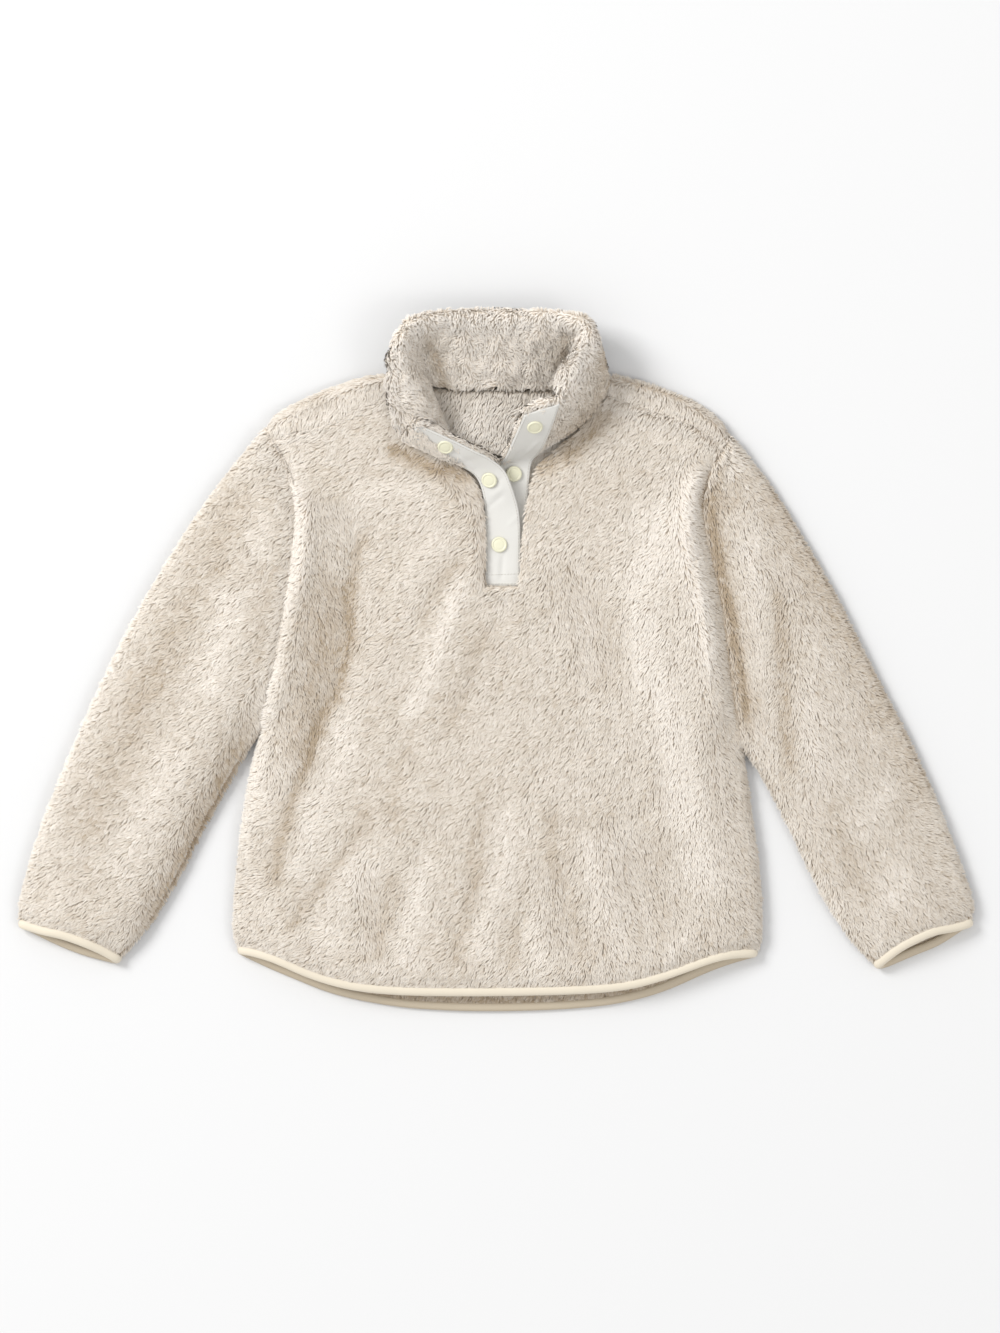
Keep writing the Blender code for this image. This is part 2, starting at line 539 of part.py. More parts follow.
def back_half(side):
    """Floor layer of half the back, and the strip that comes forward over the shoulder."""
    arm_line = armhole_floor_stations(side)
    outer_rail, inner_rail = side_rail(side, arm_line)
    hem = Track(HEM_BACK)
    start = np.interp(MIDDLE_X, hem.points[:, 0], hem.reach)
    finish_at = 0.0 if side is LEFT else hem.length
    neck, shoulder = Track(side.neck_back[::-1]), Track(side.shoulder)
    top_length = neck.length + shoulder.length

    def top_edge(share):
        reach = np.asarray(share) * top_length
        return np.where((reach < neck.length)[..., None], neck.at(reach),
                        shoulder.at(reach - neck.length))

    neck_line = stations(neck.length, (0.0,), NECK_COLUMNS, FOLD_STEPS)
    shoulder_line = neck.length + stations(shoulder.length, (0.0,), FRONT_COLUMNS, FOLD_STEPS)
    top_line = np.concatenate([neck_line, shoulder_line[1:]])
    corner = len(neck_line) - 1

    rows = len(outer_rail)
    last = rows - 1
    chest = (0, len(HEM_STEPS) - 1, UNDERARM_ROW, UNDERARM_ROW + 4,
             last - 4, last - 3, last - 2, last - 1, last)
    crown = side.neck_back[-1].y
    heights = (hem.at(start)[1], hem.at(start)[1] + HEM_STEPS[-1], UNDERARM_LEVEL,
               UNDERARM_TURN, *(crown - np.array(FOLD_STEPS[::-1])))
    centre = np.stack([np.full(rows, MIDDLE_X), np.interp(np.arange(rows), chest, heights)], -1)
    along = rail_shares(centre)
    height = np.ptp(centre[:, 1])

    grids = []
    for layer, rail in enumerate((outer_rail, inner_rail)):
        across, up = [], []
        width_line = top_line.copy()
        if layer:
            width_line[corner - 4:corner + 1] = neck.length - inner_step(FOLD_STEPS)[::-1]
        for row in range(rows):
            width = np.linalg.norm(rail[row] - centre[row])
            turns = layer and row < UNDERARM_ROW
            steps = np.array(inner_step(FOLD_STEPS) - WALL if turns else FOLD_STEPS)
            near_top = smooth(1 - (1 - along[row]) * height / NAPE_REACH)
            line = top_line + (width_line - top_line) * near_top
            body = line[:-4] * (width - steps[-1]) / line[-5]
            across.append(np.concatenate([body, width - steps[:-1][::-1]]) / width)
            drop = (1 - along[row]) * height
            lowered = inner_step(drop) if layer and drop < FOLD_STEPS[-1] else drop
            shoulder_up = np.full(len(top_line), 1 - lowered / height)
            shoulder_up[:corner] = along[row]
            up.append(shoulder_up)
        across, up = np.array(across), np.array(up)
        across[-1] = (width_line if layer else top_line) / top_length
        plan = spread(lambda a: hem.at(start + (finish_at - start) * np.asarray(a)), top_edge,
                      centre, rail, across, up)
        plan[0, -1] = rail[0]
        grids.append(plan)

    arm, neck_top = Track(side.armhole), Track(side.neck_top)
    seam = shoulder_seam(side)
    strip_across = (shoulder_line - neck.length) / shoulder.length
    strips = []
    for layer in range(2):
        steps = np.array(FOLD_STEPS[1:])
        reach = inner_step(steps) if layer else steps
        down = reach / FOLD_STEPS[-1]
        left = neck_top.at(down * NECK_SEAM_DROP)
        right = arm.at(arm.length - reach)
        across = strip_across + (seam_shares(side) - strip_across) * down[:, None]
        along_strip = np.broadcast_to(down[:, None], across.shape)
        strips.append(spread(shoulder.share, seam.share, left, right, across, along_strip))
    return grids, strips, corner


def build_back():
    layers = []
    for layer in range(2):
        halves = []
        for side in (LEFT, RIGHT):
            grids, strips, corner = back_half(side)
            floor_height, top_height = ((floor_outside, top_outside),
                                        (floor_inside, top_inside))[layer]
            floor = raised(grids[layer], floor_height)
            floor[:-1, :, 2] = np.minimum(floor[:-1, :, 2], MIDDLE - SEAM / 2)
            floor[-1, corner:, 2] = MIDDLE
            strip = raised(strips[layer], top_height)
            top = np.full((len(strip), floor.shape[1], 3), 0.0)
            top[:, corner:] = strip
            points = np.vstack([floor, top])
            arm = points[UNDERARM_ROW:, -1]
            arm[:, :2] = parted(arm[:, :2], SEAM / 2, np.array([MIDDLE_X, 0.0]))
            seam = points[-1, corner:]
            seam[:, :2] = parted(seam[:, :2], SEAM / 2, np.array([seam[0, 0], ABOVE_NECK]))
            halves.append(points)
        layers.append(np.concatenate([halves[0][:, ::-1], halves[1][:, 1:]], axis=1))
    rows = len(grids[0])
    half = grids[0].shape[1] - 1
    shoulders = set(range(0, half - corner)) | set(range(half + corner, 2 * half))
    shell("back", layers[0], layers[1], FLEECE,
          present=lambda r, c: r < rows - 1 or c in shoulders)
    return layers[0][0], layers[1][0]


SLEEVE_ROWS = 9
FAR_OUT = 900.0                  # a place far out beyond the sleeve, that its seam moves towards
FAR_DOWN = -100.0


def sleeve_half(side, arm_line, cuff, inside):
    """Plan of one layer of a sleeve, from the armhole to the cuff."""
    arm, end = Track(side.armhole), Track(cuff[::-1])
    outer, inner = Track(side.sleeve_outer), Track(side.sleeve_inner)
    last = np.array(HEM_STEPS[::-1]) / outer.length
    along = np.concatenate([np.linspace(0, 1 - last[0], SLEEVE_ROWS + 1), 1 - last[1:]])
    left, right = inner.share(along), outer.share(along)
    chord = np.linalg.norm(right - left, axis=1)
    slack = (arm.length / chord[0], end.length / chord[-1])
    edge = len(FOLD_STEPS)
    margin = FOLD_STEPS[-1]
    first = (arm_line[edge - 1:1 - edge] - margin) / (arm.length - 2 * margin)
    even = np.linspace(0, 1, len(first))
    across = []
    for share, width in zip(along, chord):
        width = width * (slack[0] * (1 - share) + slack[1] * share)
        inside_line = margin + (width - 2 * margin) * (first * (1 - share) + even * share)
        steps = np.array(FOLD_STEPS[:-1])
        line = np.concatenate([steps, inside_line, width - steps[::-1]])
        if inside:
            line = fold_aware(line, width)
        across.append(line / width)
    across = np.array(across)
    up = np.broadcast_to(along[:, None], across.shape)
    return spread(arm.share, end.share, left, right, across, up)


def build_sleeve(side):
    away = np.array([np.sign(side.armhole[0].x) * FAR_OUT, FAR_DOWN])
    loops = []
    for inside, top_height, floor_height in ((False, top_outside, floor_outside),
                                             (True, top_inside, floor_inside)):
        top_plan = sleeve_half(side, armhole_top_stations(side), side.cuff_front, inside)
        floor_plan = sleeve_half(side, armhole_floor_stations(side), side.cuff_back, inside)
        top = raised(top_plan, top_height)
        floor = raised(floor_plan, floor_height)
        for points in (top, floor):
            points[0, :, :2] = parted(points[0, :, :2], SEAM / 2, away)
        loops.append(np.concatenate([top, floor[:, -2:0:-1]], axis=1))
    shell("sleeve_" + side.name, loops[0], loops[1], FLEECE, closed=True)
    return loops


# The section of a binding: how far out from the cloth's end, and from its inside to its outside
BINDING_SECTION = ((0.0, 0.0), (0.0, 1.0), (0.35, 1.12), (0.85, 0.98), (1.0, 0.5), (0.85, 0.02),
                   (0.35, -0.08))


def build_binding(name, outer, inner, away):
    """A binding round a mouth, from the outer and inner loops of the cloth's end."""
    loops = []
    for reach, across in BINDING_SECTION:
        centre = inner + (outer - inner) * across
        loops.append(centre + away * (SEAM + reach * BINDING_WIDTH))
    loops = np.stack(loops, axis=1)
    loops[..., 2] = np.maximum(loops[..., 2], 0.0)
    ring(name, loops, BINDING)


def outwards(line, away):
    """Plan directions square to a line of points, on the side that away points to."""
    along = unit(np.gradient(line[:, :2], axis=0))
    square = np.stack([-along[:, 1], along[:, 0], np.zeros(len(along))], axis=-1)
    return square * np.sign((square * away).sum(-1, keepdims=True))


def build_cuff_binding(side, loops):
    chord = np.array([*side.cuff_front[-1], 0.0]) - np.array([*side.cuff_front[0], 0.0])
    away = outwards(np.stack([[0, 0, 0], chord]), np.array([0, -1.0, 0]))[:1]
    build_binding("binding_cuff_" + side.name, loops[0][-1], loops[1][-1], away)


def build_hem_binding(front, back):
    outer = np.vstack([front[0], back[0][-2:0:-1]])
    inner = np.vstack([front[1], back[1][-2:0:-1]])
    last = len(front[0]) - 1
    for loop in (outer, inner):
        loop[[0, last], 2] = MIDDLE
    down = np.array([0, -1.0, 0])
    square = outwards(front[0], down)
    behind = outwards(back[0], down)
    square[[0, -1]] = unit(square[[0, -1]] + down)
    build_binding("binding_hem", outer, inner, np.vstack([square, behind[-2:0:-1]]))


STRIP_COLUMNS = 5
RIB_STEPS = 10
RIB_LINE = Track(COLLAR, RIB_STEPS)
LAST_RIB = len(COLLAR) - 1


def rib_share(rib):
    """How far round the collar a section lies, counted from the left end, halves included."""
    return RIB_LINE.reach[np.round(np.asarray(rib) * RIB_STEPS).astype(int)] / RIB_LINE.length


RIM_ROUND = 0.84         # share of the way up where the wall starts to round over to its rim
RIM_SPAN = 0.165
FOOT_THIN = 0.7          # thickness at the neckline, as a share of the wall's
FOOT_REACH = 0.3
SLOPE_STEP = 0.004       # shares between the places that a face's direction is read from
COLLAR_STEPS = (0.0, 0.1, 0.25, 0.4, 0.55, 0.7, 0.84, 0.93, 0.98, 1.0)
COLLAR_SHARES = rib_share([0, 0.5, 1, 1.5, 2, 2.4, 2.8, 3.3, 3.8, 4.5, 5.2, 6, 7, 7.5, 8, 8.5, 9, 9.5,
                           10.5, 11.5, 12.5, 13.4, 14, 14.5, 15, 15.5, 16, 17, 18, 19, 20,
                           21, 21.5, 22, 22.5, 23])


def collar_middle(share, up):
    """A place on the middle of the collar's wall, round the neck and up towards the rim."""
    rib = RIB_LINE.share(share)
    base, knee, rim, thick = rib[..., 0:3], rib[..., 3:6], rib[..., 6:9], rib[..., 9:10]
    tip = rim + unit(rim - knee) * thick / 2
    up = np.asarray(up)[..., None]
    return (1 - up) ** 2 * base + 2 * up * (1 - up) * knee + up ** 2 * tip, thick[..., 0]


def collar_sides(share, up):
    """Outer and inner faces of the collar, and the direction from inner to outer."""
    centre, thick = collar_middle(share, up)
    before, after = np.clip(share - SLOPE_STEP, 0, 1), np.clip(share + SLOPE_STEP, 0, 1)
    round_neck = collar_middle(after, up)[0] - collar_middle(before, up)[0]
    low, high = np.clip(up - SLOPE_STEP, 0, 1), np.clip(up + SLOPE_STEP, 0, 1)
    to_rim = collar_middle(share, high)[0] - collar_middle(share, low)[0]
    out = -unit(np.cross(round_neck, to_rim))
    rounded = np.sqrt(1 - np.clip((up - RIM_ROUND) / RIM_SPAN, 0, 1) ** 2)
    rounded = rounded * (FOOT_THIN + (1 - FOOT_THIN) * smooth(up / FOOT_REACH))
    half = (thick * rounded / 2)[..., None]
    return centre + out * half, centre - out * half, out


def build_collar():
    share, up = np.meshgrid(COLLAR_SHARES, COLLAR_STEPS, indexing="ij")
    outer, inner, _ = collar_sides(share, up)
    shell("collar", outer, inner, FLEECE)


STRIP_CLEARANCE = 1.3    # between a strip and the collar's face, which bends beneath it
STRIP_STEPS = COLLAR_STEPS[1:8]  # on the collar a strip has its rows and stations


def strip_grid(one_edge, other_edge, ends):
    """Middle of a placket strip: up the front opening, then on the collar's outer face."""
    across = np.linspace(0, 1, STRIP_COLUMNS)
    share = rib_share(ends[0] + (ends[1] - ends[0]) * across)
    flat = [np.array(a) + (np.array(b) - np.array(a)) * across[:, None]
            for a, b in zip(one_edge, other_edge)]
    standing = []
    for up in STRIP_STEPS:
        outer, _, out = collar_sides(share, np.full(STRIP_COLUMNS, up))
        standing.append(outer + out * (STRIP_THICK / 2 + STRIP_CLEARANCE))
    return np.array(flat + standing)


def strip_normals(grid):
    return unit(np.cross(np.gradient(grid, axis=1), np.gradient(grid, axis=0)))


def build_strip(name, grid):
    out = strip_normals(grid) * STRIP_THICK / 2
    shell(name, grid + out, grid - out, TWILL)


SNAP_PROFILE = ((0.0, 1.3), (3.4, 1.1), (4.4, 1.9), (6.6, 2.1), (7.9, 1.3), (8.2, 0.4),
                (7.6, 0.0), (0.0, 0.0))
SNAP_STEPS = 14
WELD = 0.0001            # metres


def build_snap(snap, grid):
    """A ring-topped snap, turned from its profile and set on its strip."""
    line = bpy.data.meshes.new(snap.name)
    line.from_pydata([(radius * METRE, 0, height * METRE) for radius, height in SNAP_PROFILE],
                     [(k, k + 1) for k in range(len(SNAP_PROFILE) - 1)], [])
    made = bpy.data.objects.new(snap.name, line)
    HOME.objects.link(made)
    turn = made.modifiers.new("turned", "SCREW")
    turn.steps = turn.render_steps = SNAP_STEPS
    turn.use_merge_vertices = True
    turn.merge_threshold = WELD
    line.materials.append(material(snap.name, SNAP))
    middle = grid[:, STRIP_COLUMNS // 2]
    reach = rail_shares(middle)
    row = np.interp(snap.along, reach, np.arange(len(reach)))
    column = snap.across * (STRIP_COLUMNS - 1)
    r, c = min(int(row), len(reach) - 2), min(int(column), STRIP_COLUMNS - 2)
    v, u = row - r, column - c
    normals = strip_normals(grid)
    mixed = [(1 - v) * ((1 - u) * g[r, c] + u * g[r, c + 1])
             + v * ((1 - u) * g[r + 1, c] + u * g[r + 1, c + 1]) for g in (grid, normals)]
    out = Vector(mixed[1]).normalized()
    made.location = (Vector(mixed[0]) + out * (STRIP_THICK / 2 + snap.lift)) * METRE
    made.rotation_euler = out.to_track_quat("Z", "Y").to_euler()


front_end = build_front()
back_end = build_back()
build_hem_binding(front_end, back_end)
for garment_side in (LEFT, RIGHT):
    build_cuff_binding(garment_side, build_sleeve(garment_side))
build_collar()
OVER = strip_grid(OVER_FAR, OVER_FRONT, (STRIP_RIBS, 0))
UNDER = strip_grid(UNDER_LEFT, UNDER_RIGHT, (LAST_RIB, LAST_RIB - STRIP_RIBS))
build_strip("placket_over", OVER)
build_strip("placket_under", UNDER)
for one in SNAPS:
    build_snap(one, OVER if one.strip == "placket_over" else UNDER)
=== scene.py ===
# Looks of the sherpa fleece pullover: cloth, pile, tape, bindings, snaps, light and camera.
# Tables are in millimetres, like the part's own, and every mesh is made in metres.

from collections import namedtuple
from math import pi, radians

import bmesh
import bpy
import numpy as np
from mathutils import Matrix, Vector
from mathutils.kdtree import KDTree


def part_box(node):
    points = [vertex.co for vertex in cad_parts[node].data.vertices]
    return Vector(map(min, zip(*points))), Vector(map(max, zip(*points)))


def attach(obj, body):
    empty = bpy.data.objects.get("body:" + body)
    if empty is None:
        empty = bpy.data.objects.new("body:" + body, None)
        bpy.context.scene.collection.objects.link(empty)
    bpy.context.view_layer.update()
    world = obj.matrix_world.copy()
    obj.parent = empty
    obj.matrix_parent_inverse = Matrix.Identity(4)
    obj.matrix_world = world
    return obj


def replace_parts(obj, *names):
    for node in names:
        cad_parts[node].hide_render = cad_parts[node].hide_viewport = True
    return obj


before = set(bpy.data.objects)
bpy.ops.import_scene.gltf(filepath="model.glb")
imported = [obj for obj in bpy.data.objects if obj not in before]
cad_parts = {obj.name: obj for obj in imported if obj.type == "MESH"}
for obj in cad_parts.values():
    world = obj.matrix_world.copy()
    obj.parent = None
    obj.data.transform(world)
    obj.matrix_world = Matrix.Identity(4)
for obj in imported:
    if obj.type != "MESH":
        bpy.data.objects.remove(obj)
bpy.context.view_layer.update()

metre = 0.001
bakeMap = "OFBake"
print("frame loaded:", len(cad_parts), "nodes")


# Shader maths

class Shade:
    def __init__(self, tree, socket=None):
        self.tree = tree
        self.socket = socket

    def node(self, kind, settings=None, values=None, out=0):
        made = self.tree.nodes.new(kind)
        for key, value in (settings or {}).items():
            if key == "stops":
                first, *between, last = value
                ends = made.color_ramp.elements[0], made.color_ramp.elements[1]
                ends[0].position, ends[0].color = first[0], (*first[1], 1)
                ends[1].position, ends[1].color = last[0], (*last[1], 1)
                for place, colour in between:
                    made.color_ramp.elements.new(place).color = (*colour, 1)
            else:
                setattr(made, key, value)
        for key, value in (values or {}).items():
            if isinstance(value, Shade):
                self.tree.links.new(value.socket, made.inputs[key])
            else:
                made.inputs[key].default_value = value
        return Shade(self.tree, made.outputs[out])

    def other(self, out):
        return Shade(self.tree, self.socket.node.outputs[out])

    def maths(self, operation, first, second):
        return self.node("ShaderNodeMath", {"operation": operation}, {0: first, 1: second})

    def __add__(self, value):
        return self.maths("ADD", self, value)

    def __mul__(self, value):
        return self.maths("MULTIPLY", self, value)

    __radd__ = __add__
    __rmul__ = __mul__

    def mix(self, first, second):
        colours = {6: first, 7: second}
        for key, value in colours.items():
            if not isinstance(value, Shade):
                colours[key] = (*value, 1)
        return self.node("ShaderNodeMix", {"data_type": "RGBA"}, {0: self, **colours}, out=2)


def newMaterial(name, look):
    made = bpy.data.materials.new(name)
    made.use_nodes = True
    surface = made.node_tree.nodes["Principled BSDF"]
    surface.inputs["Roughness"].default_value = look["rough"]
    surface.inputs["Sheen Weight"].default_value = look.get("sheen", 0)
    surface.inputs["Sheen Roughness"].default_value = 0.5
    surface.inputs["Base Color"].default_value = (*look["colour"], 1)
    return made, Shade(made.node_tree), surface


def feed(shade, surface, name, value):
    shade.tree.links.new(value.socket, surface.inputs[name])


# Curves and fields

def smooth(value):
    value = np.clip(value, 0.0, 1.0)
    return value * value * (3 - 2 * value)


def unit(vectors):
    return vectors / np.maximum(np.linalg.norm(vectors, axis=-1, keepdims=True), 1e-9)


class Track:
    # a smooth curve through a few points, read by the distance along it
    def __init__(self, points, steps=10):
        knots = np.array(points, float)
        padded = np.vstack([2 * knots[0] - knots[1], knots, 2 * knots[-1] - knots[-2]])
        t = np.linspace(0, 1, steps, endpoint=False)[:, None]
        runs = []
        for a, b, c, d in zip(padded, padded[1:], padded[2:], padded[3:]):
            bend = (2 * a - 5 * b + 4 * c - d) * t ** 2 + (3 * b - a - 3 * c + d) * t ** 3
            runs.append(b + 0.5 * ((c - a) * t + bend))
        self.points = np.vstack(runs + [knots[-1:]])
        gaps = np.linalg.norm(np.diff(self.points, axis=0), axis=1)
        self.reach = np.concatenate([[0.0], np.cumsum(gaps)])
        self.length = self.reach[-1]

    def at(self, distance):
        columns = [np.interp(distance, self.reach, column) for column in self.points.T]
        return np.stack(columns, axis=-1)

    def share(self, share):
        return self.at(np.asarray(share) * self.length)


def nearest(places, line):
    # distance from each place to a line, and how far along the line, from 0 to 1
    best = np.full(len(places), 1e9)
    along = np.zeros(len(places))
    for k, (a, b) in enumerate(zip(line, line[1:])):
        step = b - a
        share = np.clip((places - a) @ step / (step @ step), 0, 1)
        gap = np.linalg.norm(places - a - share[:, None] * step, axis=1)
        nearer = gap < best
        best = np.where(nearer, gap, best)
        along = np.where(nearer, (k + share) / (len(line) - 1), along)
    return best, along


def wander(points, size, seed, waves=7):
    # smooth noise about 0, with lumps of that size
    rng = np.random.default_rng(seed)
    total = np.zeros(len(points))
    for _ in range(waves):
        ahead = unit(rng.normal(size=3)) * 2 * pi / (size * rng.uniform(1.2, 2.6))
        total += np.sin(points @ ahead + rng.uniform(0, 2 * pi))
    return total / np.sqrt(waves)


# Meshes

def newObject(name, mesh, material):
    mesh.materials.clear()
    mesh.materials.append(material)
    made = bpy.data.objects.new(name, mesh)
    bpy.context.scene.collection.objects.link(made)
    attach(made, "root")
    return made


def meshOf(name, points, faces):
    mesh = bpy.data.meshes.new(name)
    mesh.from_pydata((np.asarray(points) * metre).tolist(), [], faces)
    work = bmesh.new()
    work.from_mesh(mesh)
    bmesh.ops.recalc_face_normals(work, faces=work.faces)
    work.to_mesh(mesh)
    work.free()
    mesh.shade_smooth()
    return mesh


def applied(holder):
    # the object's mesh with its modifiers in it
    depsgraph = bpy.context.evaluated_depsgraph_get()
    mesh = bpy.data.meshes.new_from_object(holder.evaluated_get(depsgraph))
    bpy.data.objects.remove(holder)
    return mesh


def softened(node, kind="CATMULL_CLARK", levels=1, sharp=radians(50)):
    # a finer copy of one of the part's solids, rounded but for edges sharper than that, or just divided
    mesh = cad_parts[node].data.copy()
    work = bmesh.new()
    work.from_mesh(mesh)
    bmesh.ops.remove_doubles(work, verts=work.verts, dist=1e-5)
    bmesh.ops.join_triangles(work, faces=work.faces, angle_face_threshold=radians(50),
                             angle_shape_threshold=radians(60))
    bmesh.ops.recalc_face_normals(work, faces=work.faces)
    creases = work.edges.layers.float.new("crease_edge")
    for edge in work.edges:
        edge[creases] = float(edge.is_manifold and edge.calc_face_angle() > sharp)
    work.to_mesh(mesh)
    work.free()
    holder = bpy.data.objects.new(node + "_soft", mesh)
    bpy.context.scene.collection.objects.link(holder)
    rounded = holder.modifiers.new("round", "SUBSURF")
    rounded.subdivision_type = kind
    rounded.levels = rounded.render_levels = levels
    mesh = applied(holder)
    mesh.shade_smooth()
    return mesh


Surface = namedtuple("Surface", "points normals corners")


def surfaceOf(mesh):
    points = np.empty(len(mesh.vertices) * 3)
    mesh.vertices.foreach_get("co", points)
    normals = np.empty(len(mesh.vertices) * 3)
    mesh.vertex_normals.foreach_get("vector", normals)
    mesh.calc_loop_triangles()
    corners = np.empty(len(mesh.loop_triangles) * 3, np.int64)
    mesh.loop_triangles.foreach_get("vertices", corners)
    return Surface(points.reshape(-1, 3) / metre, normals.reshape(-1, 3), corners.reshape(-1, 3))


def setPoints(mesh, points):
    mesh.vertices.foreach_set("co", (points * metre).ravel())
    mesh.update()


def shellOf(name, outer, inner):
    # a wall between two grids of points, closed by a rim all round
    rows, columns = outer.shape[:2]
    size = rows * columns
    index = np.arange(size).reshape(rows, columns)
    faces = np.stack([index[:-1, :-1], index[:-1, 1:], index[1:, 1:], index[1:, :-1]], -1)
    faces = faces.reshape(-1, 4)
    edge = np.concatenate([index[0], index[1:, -1], index[-1, -2::-1], index[-2:0:-1, 0]])
    after = np.roll(edge, -1)
    rim = np.stack([after, edge, edge + size, after + size], -1)
    inside = faces[:, ::-1] + size
    points = np.vstack([outer.reshape(-1, 3), inner.reshape(-1, 3)])
    return meshOf(name, points, np.vstack([faces, inside, rim]).tolist())


# Pile

Roots = namedtuple("Roots", "places normals extra")


def onePerCell(places, size):
    cell = np.floor(places / size).astype(np.int64)
    key = (cell[:, 0] * 73856093) ^ (cell[:, 1] * 19349663) ^ (cell[:, 2] * 83492791)
    return np.unique(key, return_index=True)[1]


def scatter(surface, spacing, keep, seed, extra=None):
    # even but irregular places on a surface, with normals and any values of its points
    rng = np.random.default_rng(seed)
    a, b, c = (surface.points[surface.corners[:, k]] for k in range(3))
    cross = np.cross(b - a, c - a)
    area = np.linalg.norm(cross, axis=1) / 2
    count = np.floor(area * 2.6 / spacing ** 2 + rng.random(len(area))).astype(int)
    which = np.repeat(np.arange(len(area)), count)
    u, v = rng.random((2, len(which)))
    over = u + v > 1
    u, v = np.where(over, 1 - u, u), np.where(over, 1 - v, v)
    shares = np.stack([1 - u - v, u, v], -1)[..., None]
    picked = surface.corners[which]
    places = (surface.points[picked] * shares).sum(1)
    facing = unit(cross)[which]
    kept = np.flatnonzero(keep(places, facing))
    chosen = kept[onePerCell(places[kept], spacing)]
    normals = unit((surface.normals[picked[chosen]] * shares[chosen]).sum(1) + facing[chosen])
    values = None if extra is None else (extra[picked[chosen]] * shares[chosen]).sum(1)
    return Roots(places[chosen], normals, values)


pileLook = {
    "length": 9.0, "width": 1.32, "depth": 1.4, "crest": 0.55, "tip": 0.25, "tuft": 5.0, "gather": 0.5,
    "stray": 0.2, "swirl": 0.2, "swirlSize": 13.0, "fan": 0.3, "lean": 0.45, "upright": 1.5,
    "crestNoise": 0.25, "tipNoise": 0.35, "tuftTint": 0.07, "lockTint": 0.06,
}


def growPile(name, roots, flow, tint, material, seed, **changes):
    look = {**pileLook, **changes}
    rng = np.random.default_rng(seed)
    places, normals = roots.places, roots.normals
    count = len(places)
    ahead = unit(flow - normals * (flow * normals).sum(-1, keepdims=True))
    turn = wander(places, look["swirlSize"], seed) * look["swirl"] + rng.normal(0, look["stray"], count)
    side = np.cross(normals, ahead)
    ahead = ahead * np.cos(turn)[:, None] + side * np.sin(turn)[:, None]
    side = np.cross(normals, ahead)
    length = (look["length"] * rng.uniform(0.7, 1.2, count))[:, None]
    crest = (look["crest"] + rng.normal(0, look["crestNoise"], count))[:, None]
    tipRise = (look["tip"] + rng.normal(0, look["tipNoise"], count))[:, None]
    root = places - normals * look["depth"] - ahead * length * 0.1
    middle = places + ahead * length * 0.38 + normals * crest
    tip = places + ahead * length * 0.9 + normals * tipRise

    seeds = onePerCell(places, look["tuft"])          # one lock in each tuft draws the others in
    tree = KDTree(len(seeds))
    for k, place in enumerate(places[seeds]):
        tree.insert(place, k)
    tree.balance()
    leader = seeds[np.array([tree.find(place)[1] for place in places])]
    pull = look["gather"] * rng.uniform(0.3, 1.0, count)[:, None]
    drawn = (tip[leader] + ahead[leader] * 0.5 - tip) * pull
    tip = tip + drawn
    middle = middle + drawn * 0.3

    half = (look["width"] / 2 * rng.uniform(0.75, 1.25, count))[:, None]
    points = np.stack([root - side * half * 0.6, root + side * half * 0.6,
                       middle - side * half, middle + side * half, tip], axis=1)
    points[..., 2] = np.maximum(points[..., 2], 0.15)
    raised = look["upright"] * smooth((0.75 - normals[:, 2:]) / 1.2)
    base = unit(normals + np.array([0, 0, 1.0]) * raised)
    fan, lean = look["fan"], look["lean"]
    bent = [base - side * fan, base + side * fan, base - side * fan + ahead * lean * 0.3,
            base + side * fan + ahead * lean * 0.3, base + ahead * lean]
    bent = unit(np.stack(bent, axis=1))

    mesh = bpy.data.meshes.new(name)
    start = np.arange(count)[:, None] * 5
    mesh.vertices.add(count * 5)
    mesh.vertices.foreach_set("co", (points * metre).ravel())
    mesh.loops.add(count * 7)
    mesh.loops.foreach_set("vertex_index", (start + [0, 2, 3, 1, 2, 4, 3]).ravel().astype(np.int32))
    mesh.polygons.add(count * 2)
    loopStart = (np.arange(count)[:, None] * 7 + [0, 4]).ravel().astype(np.int32)
    mesh.polygons.foreach_set("loop_start", loopStart)
    mesh.polygons.foreach_set("use_smooth", np.ones(count * 2, bool))
    tuftTint = rng.normal(0, look["tuftTint"], count)[leader]
    shade = np.clip(tint + tuftTint + rng.normal(0, look["lockTint"], count), 0.03, 0.97)
    u = shade[:, None] + np.array([-0.004, -0.004, 0.004, 0.004, -0.004, 0.0, 0.004])
    v = np.broadcast_to([0.02, 0.5, 0.5, 0.02, 0.5, 0.98, 0.5], u.shape)
    layer = mesh.uv_layers.new(name=bakeMap)
    layer.data.foreach_set("uv", np.stack([u, v], -1).ravel())
    mesh.update(calc_edges=True)
    mesh.normals_split_custom_set_from_vertices(bent.reshape(-1, 3).tolist())
    made = newObject(name, mesh, material)
    print(name, count, "locks", count * 3, "triangles")
    return made


# Fleece: the pile's colour runs from root to tip along v, and along u from painted shade to painted light,
# with the fleece's random tone mixed in

fleece = {
    "root": (0.70, 0.57, 0.43), "middle": (0.87, 0.80, 0.71), "tip": (0.93, 0.89, 0.835),
    "shades": [(0.0, (0.50, 0.42, 0.32)), (0.18, (0.655, 0.60, 0.53)), (0.54, (0.81, 0.79, 0.76)),
               (1.0, (1.0, 1.0, 1.0))],
    # colour and ground: tans of the ground cloth, darker than the tips as painted shade deep in the pile
    "colour": (0.62, 0.55, 0.46), "ground": (0.72, 0.66, 0.58),
    "rough": 0.9, "sheen": 0.15,
}


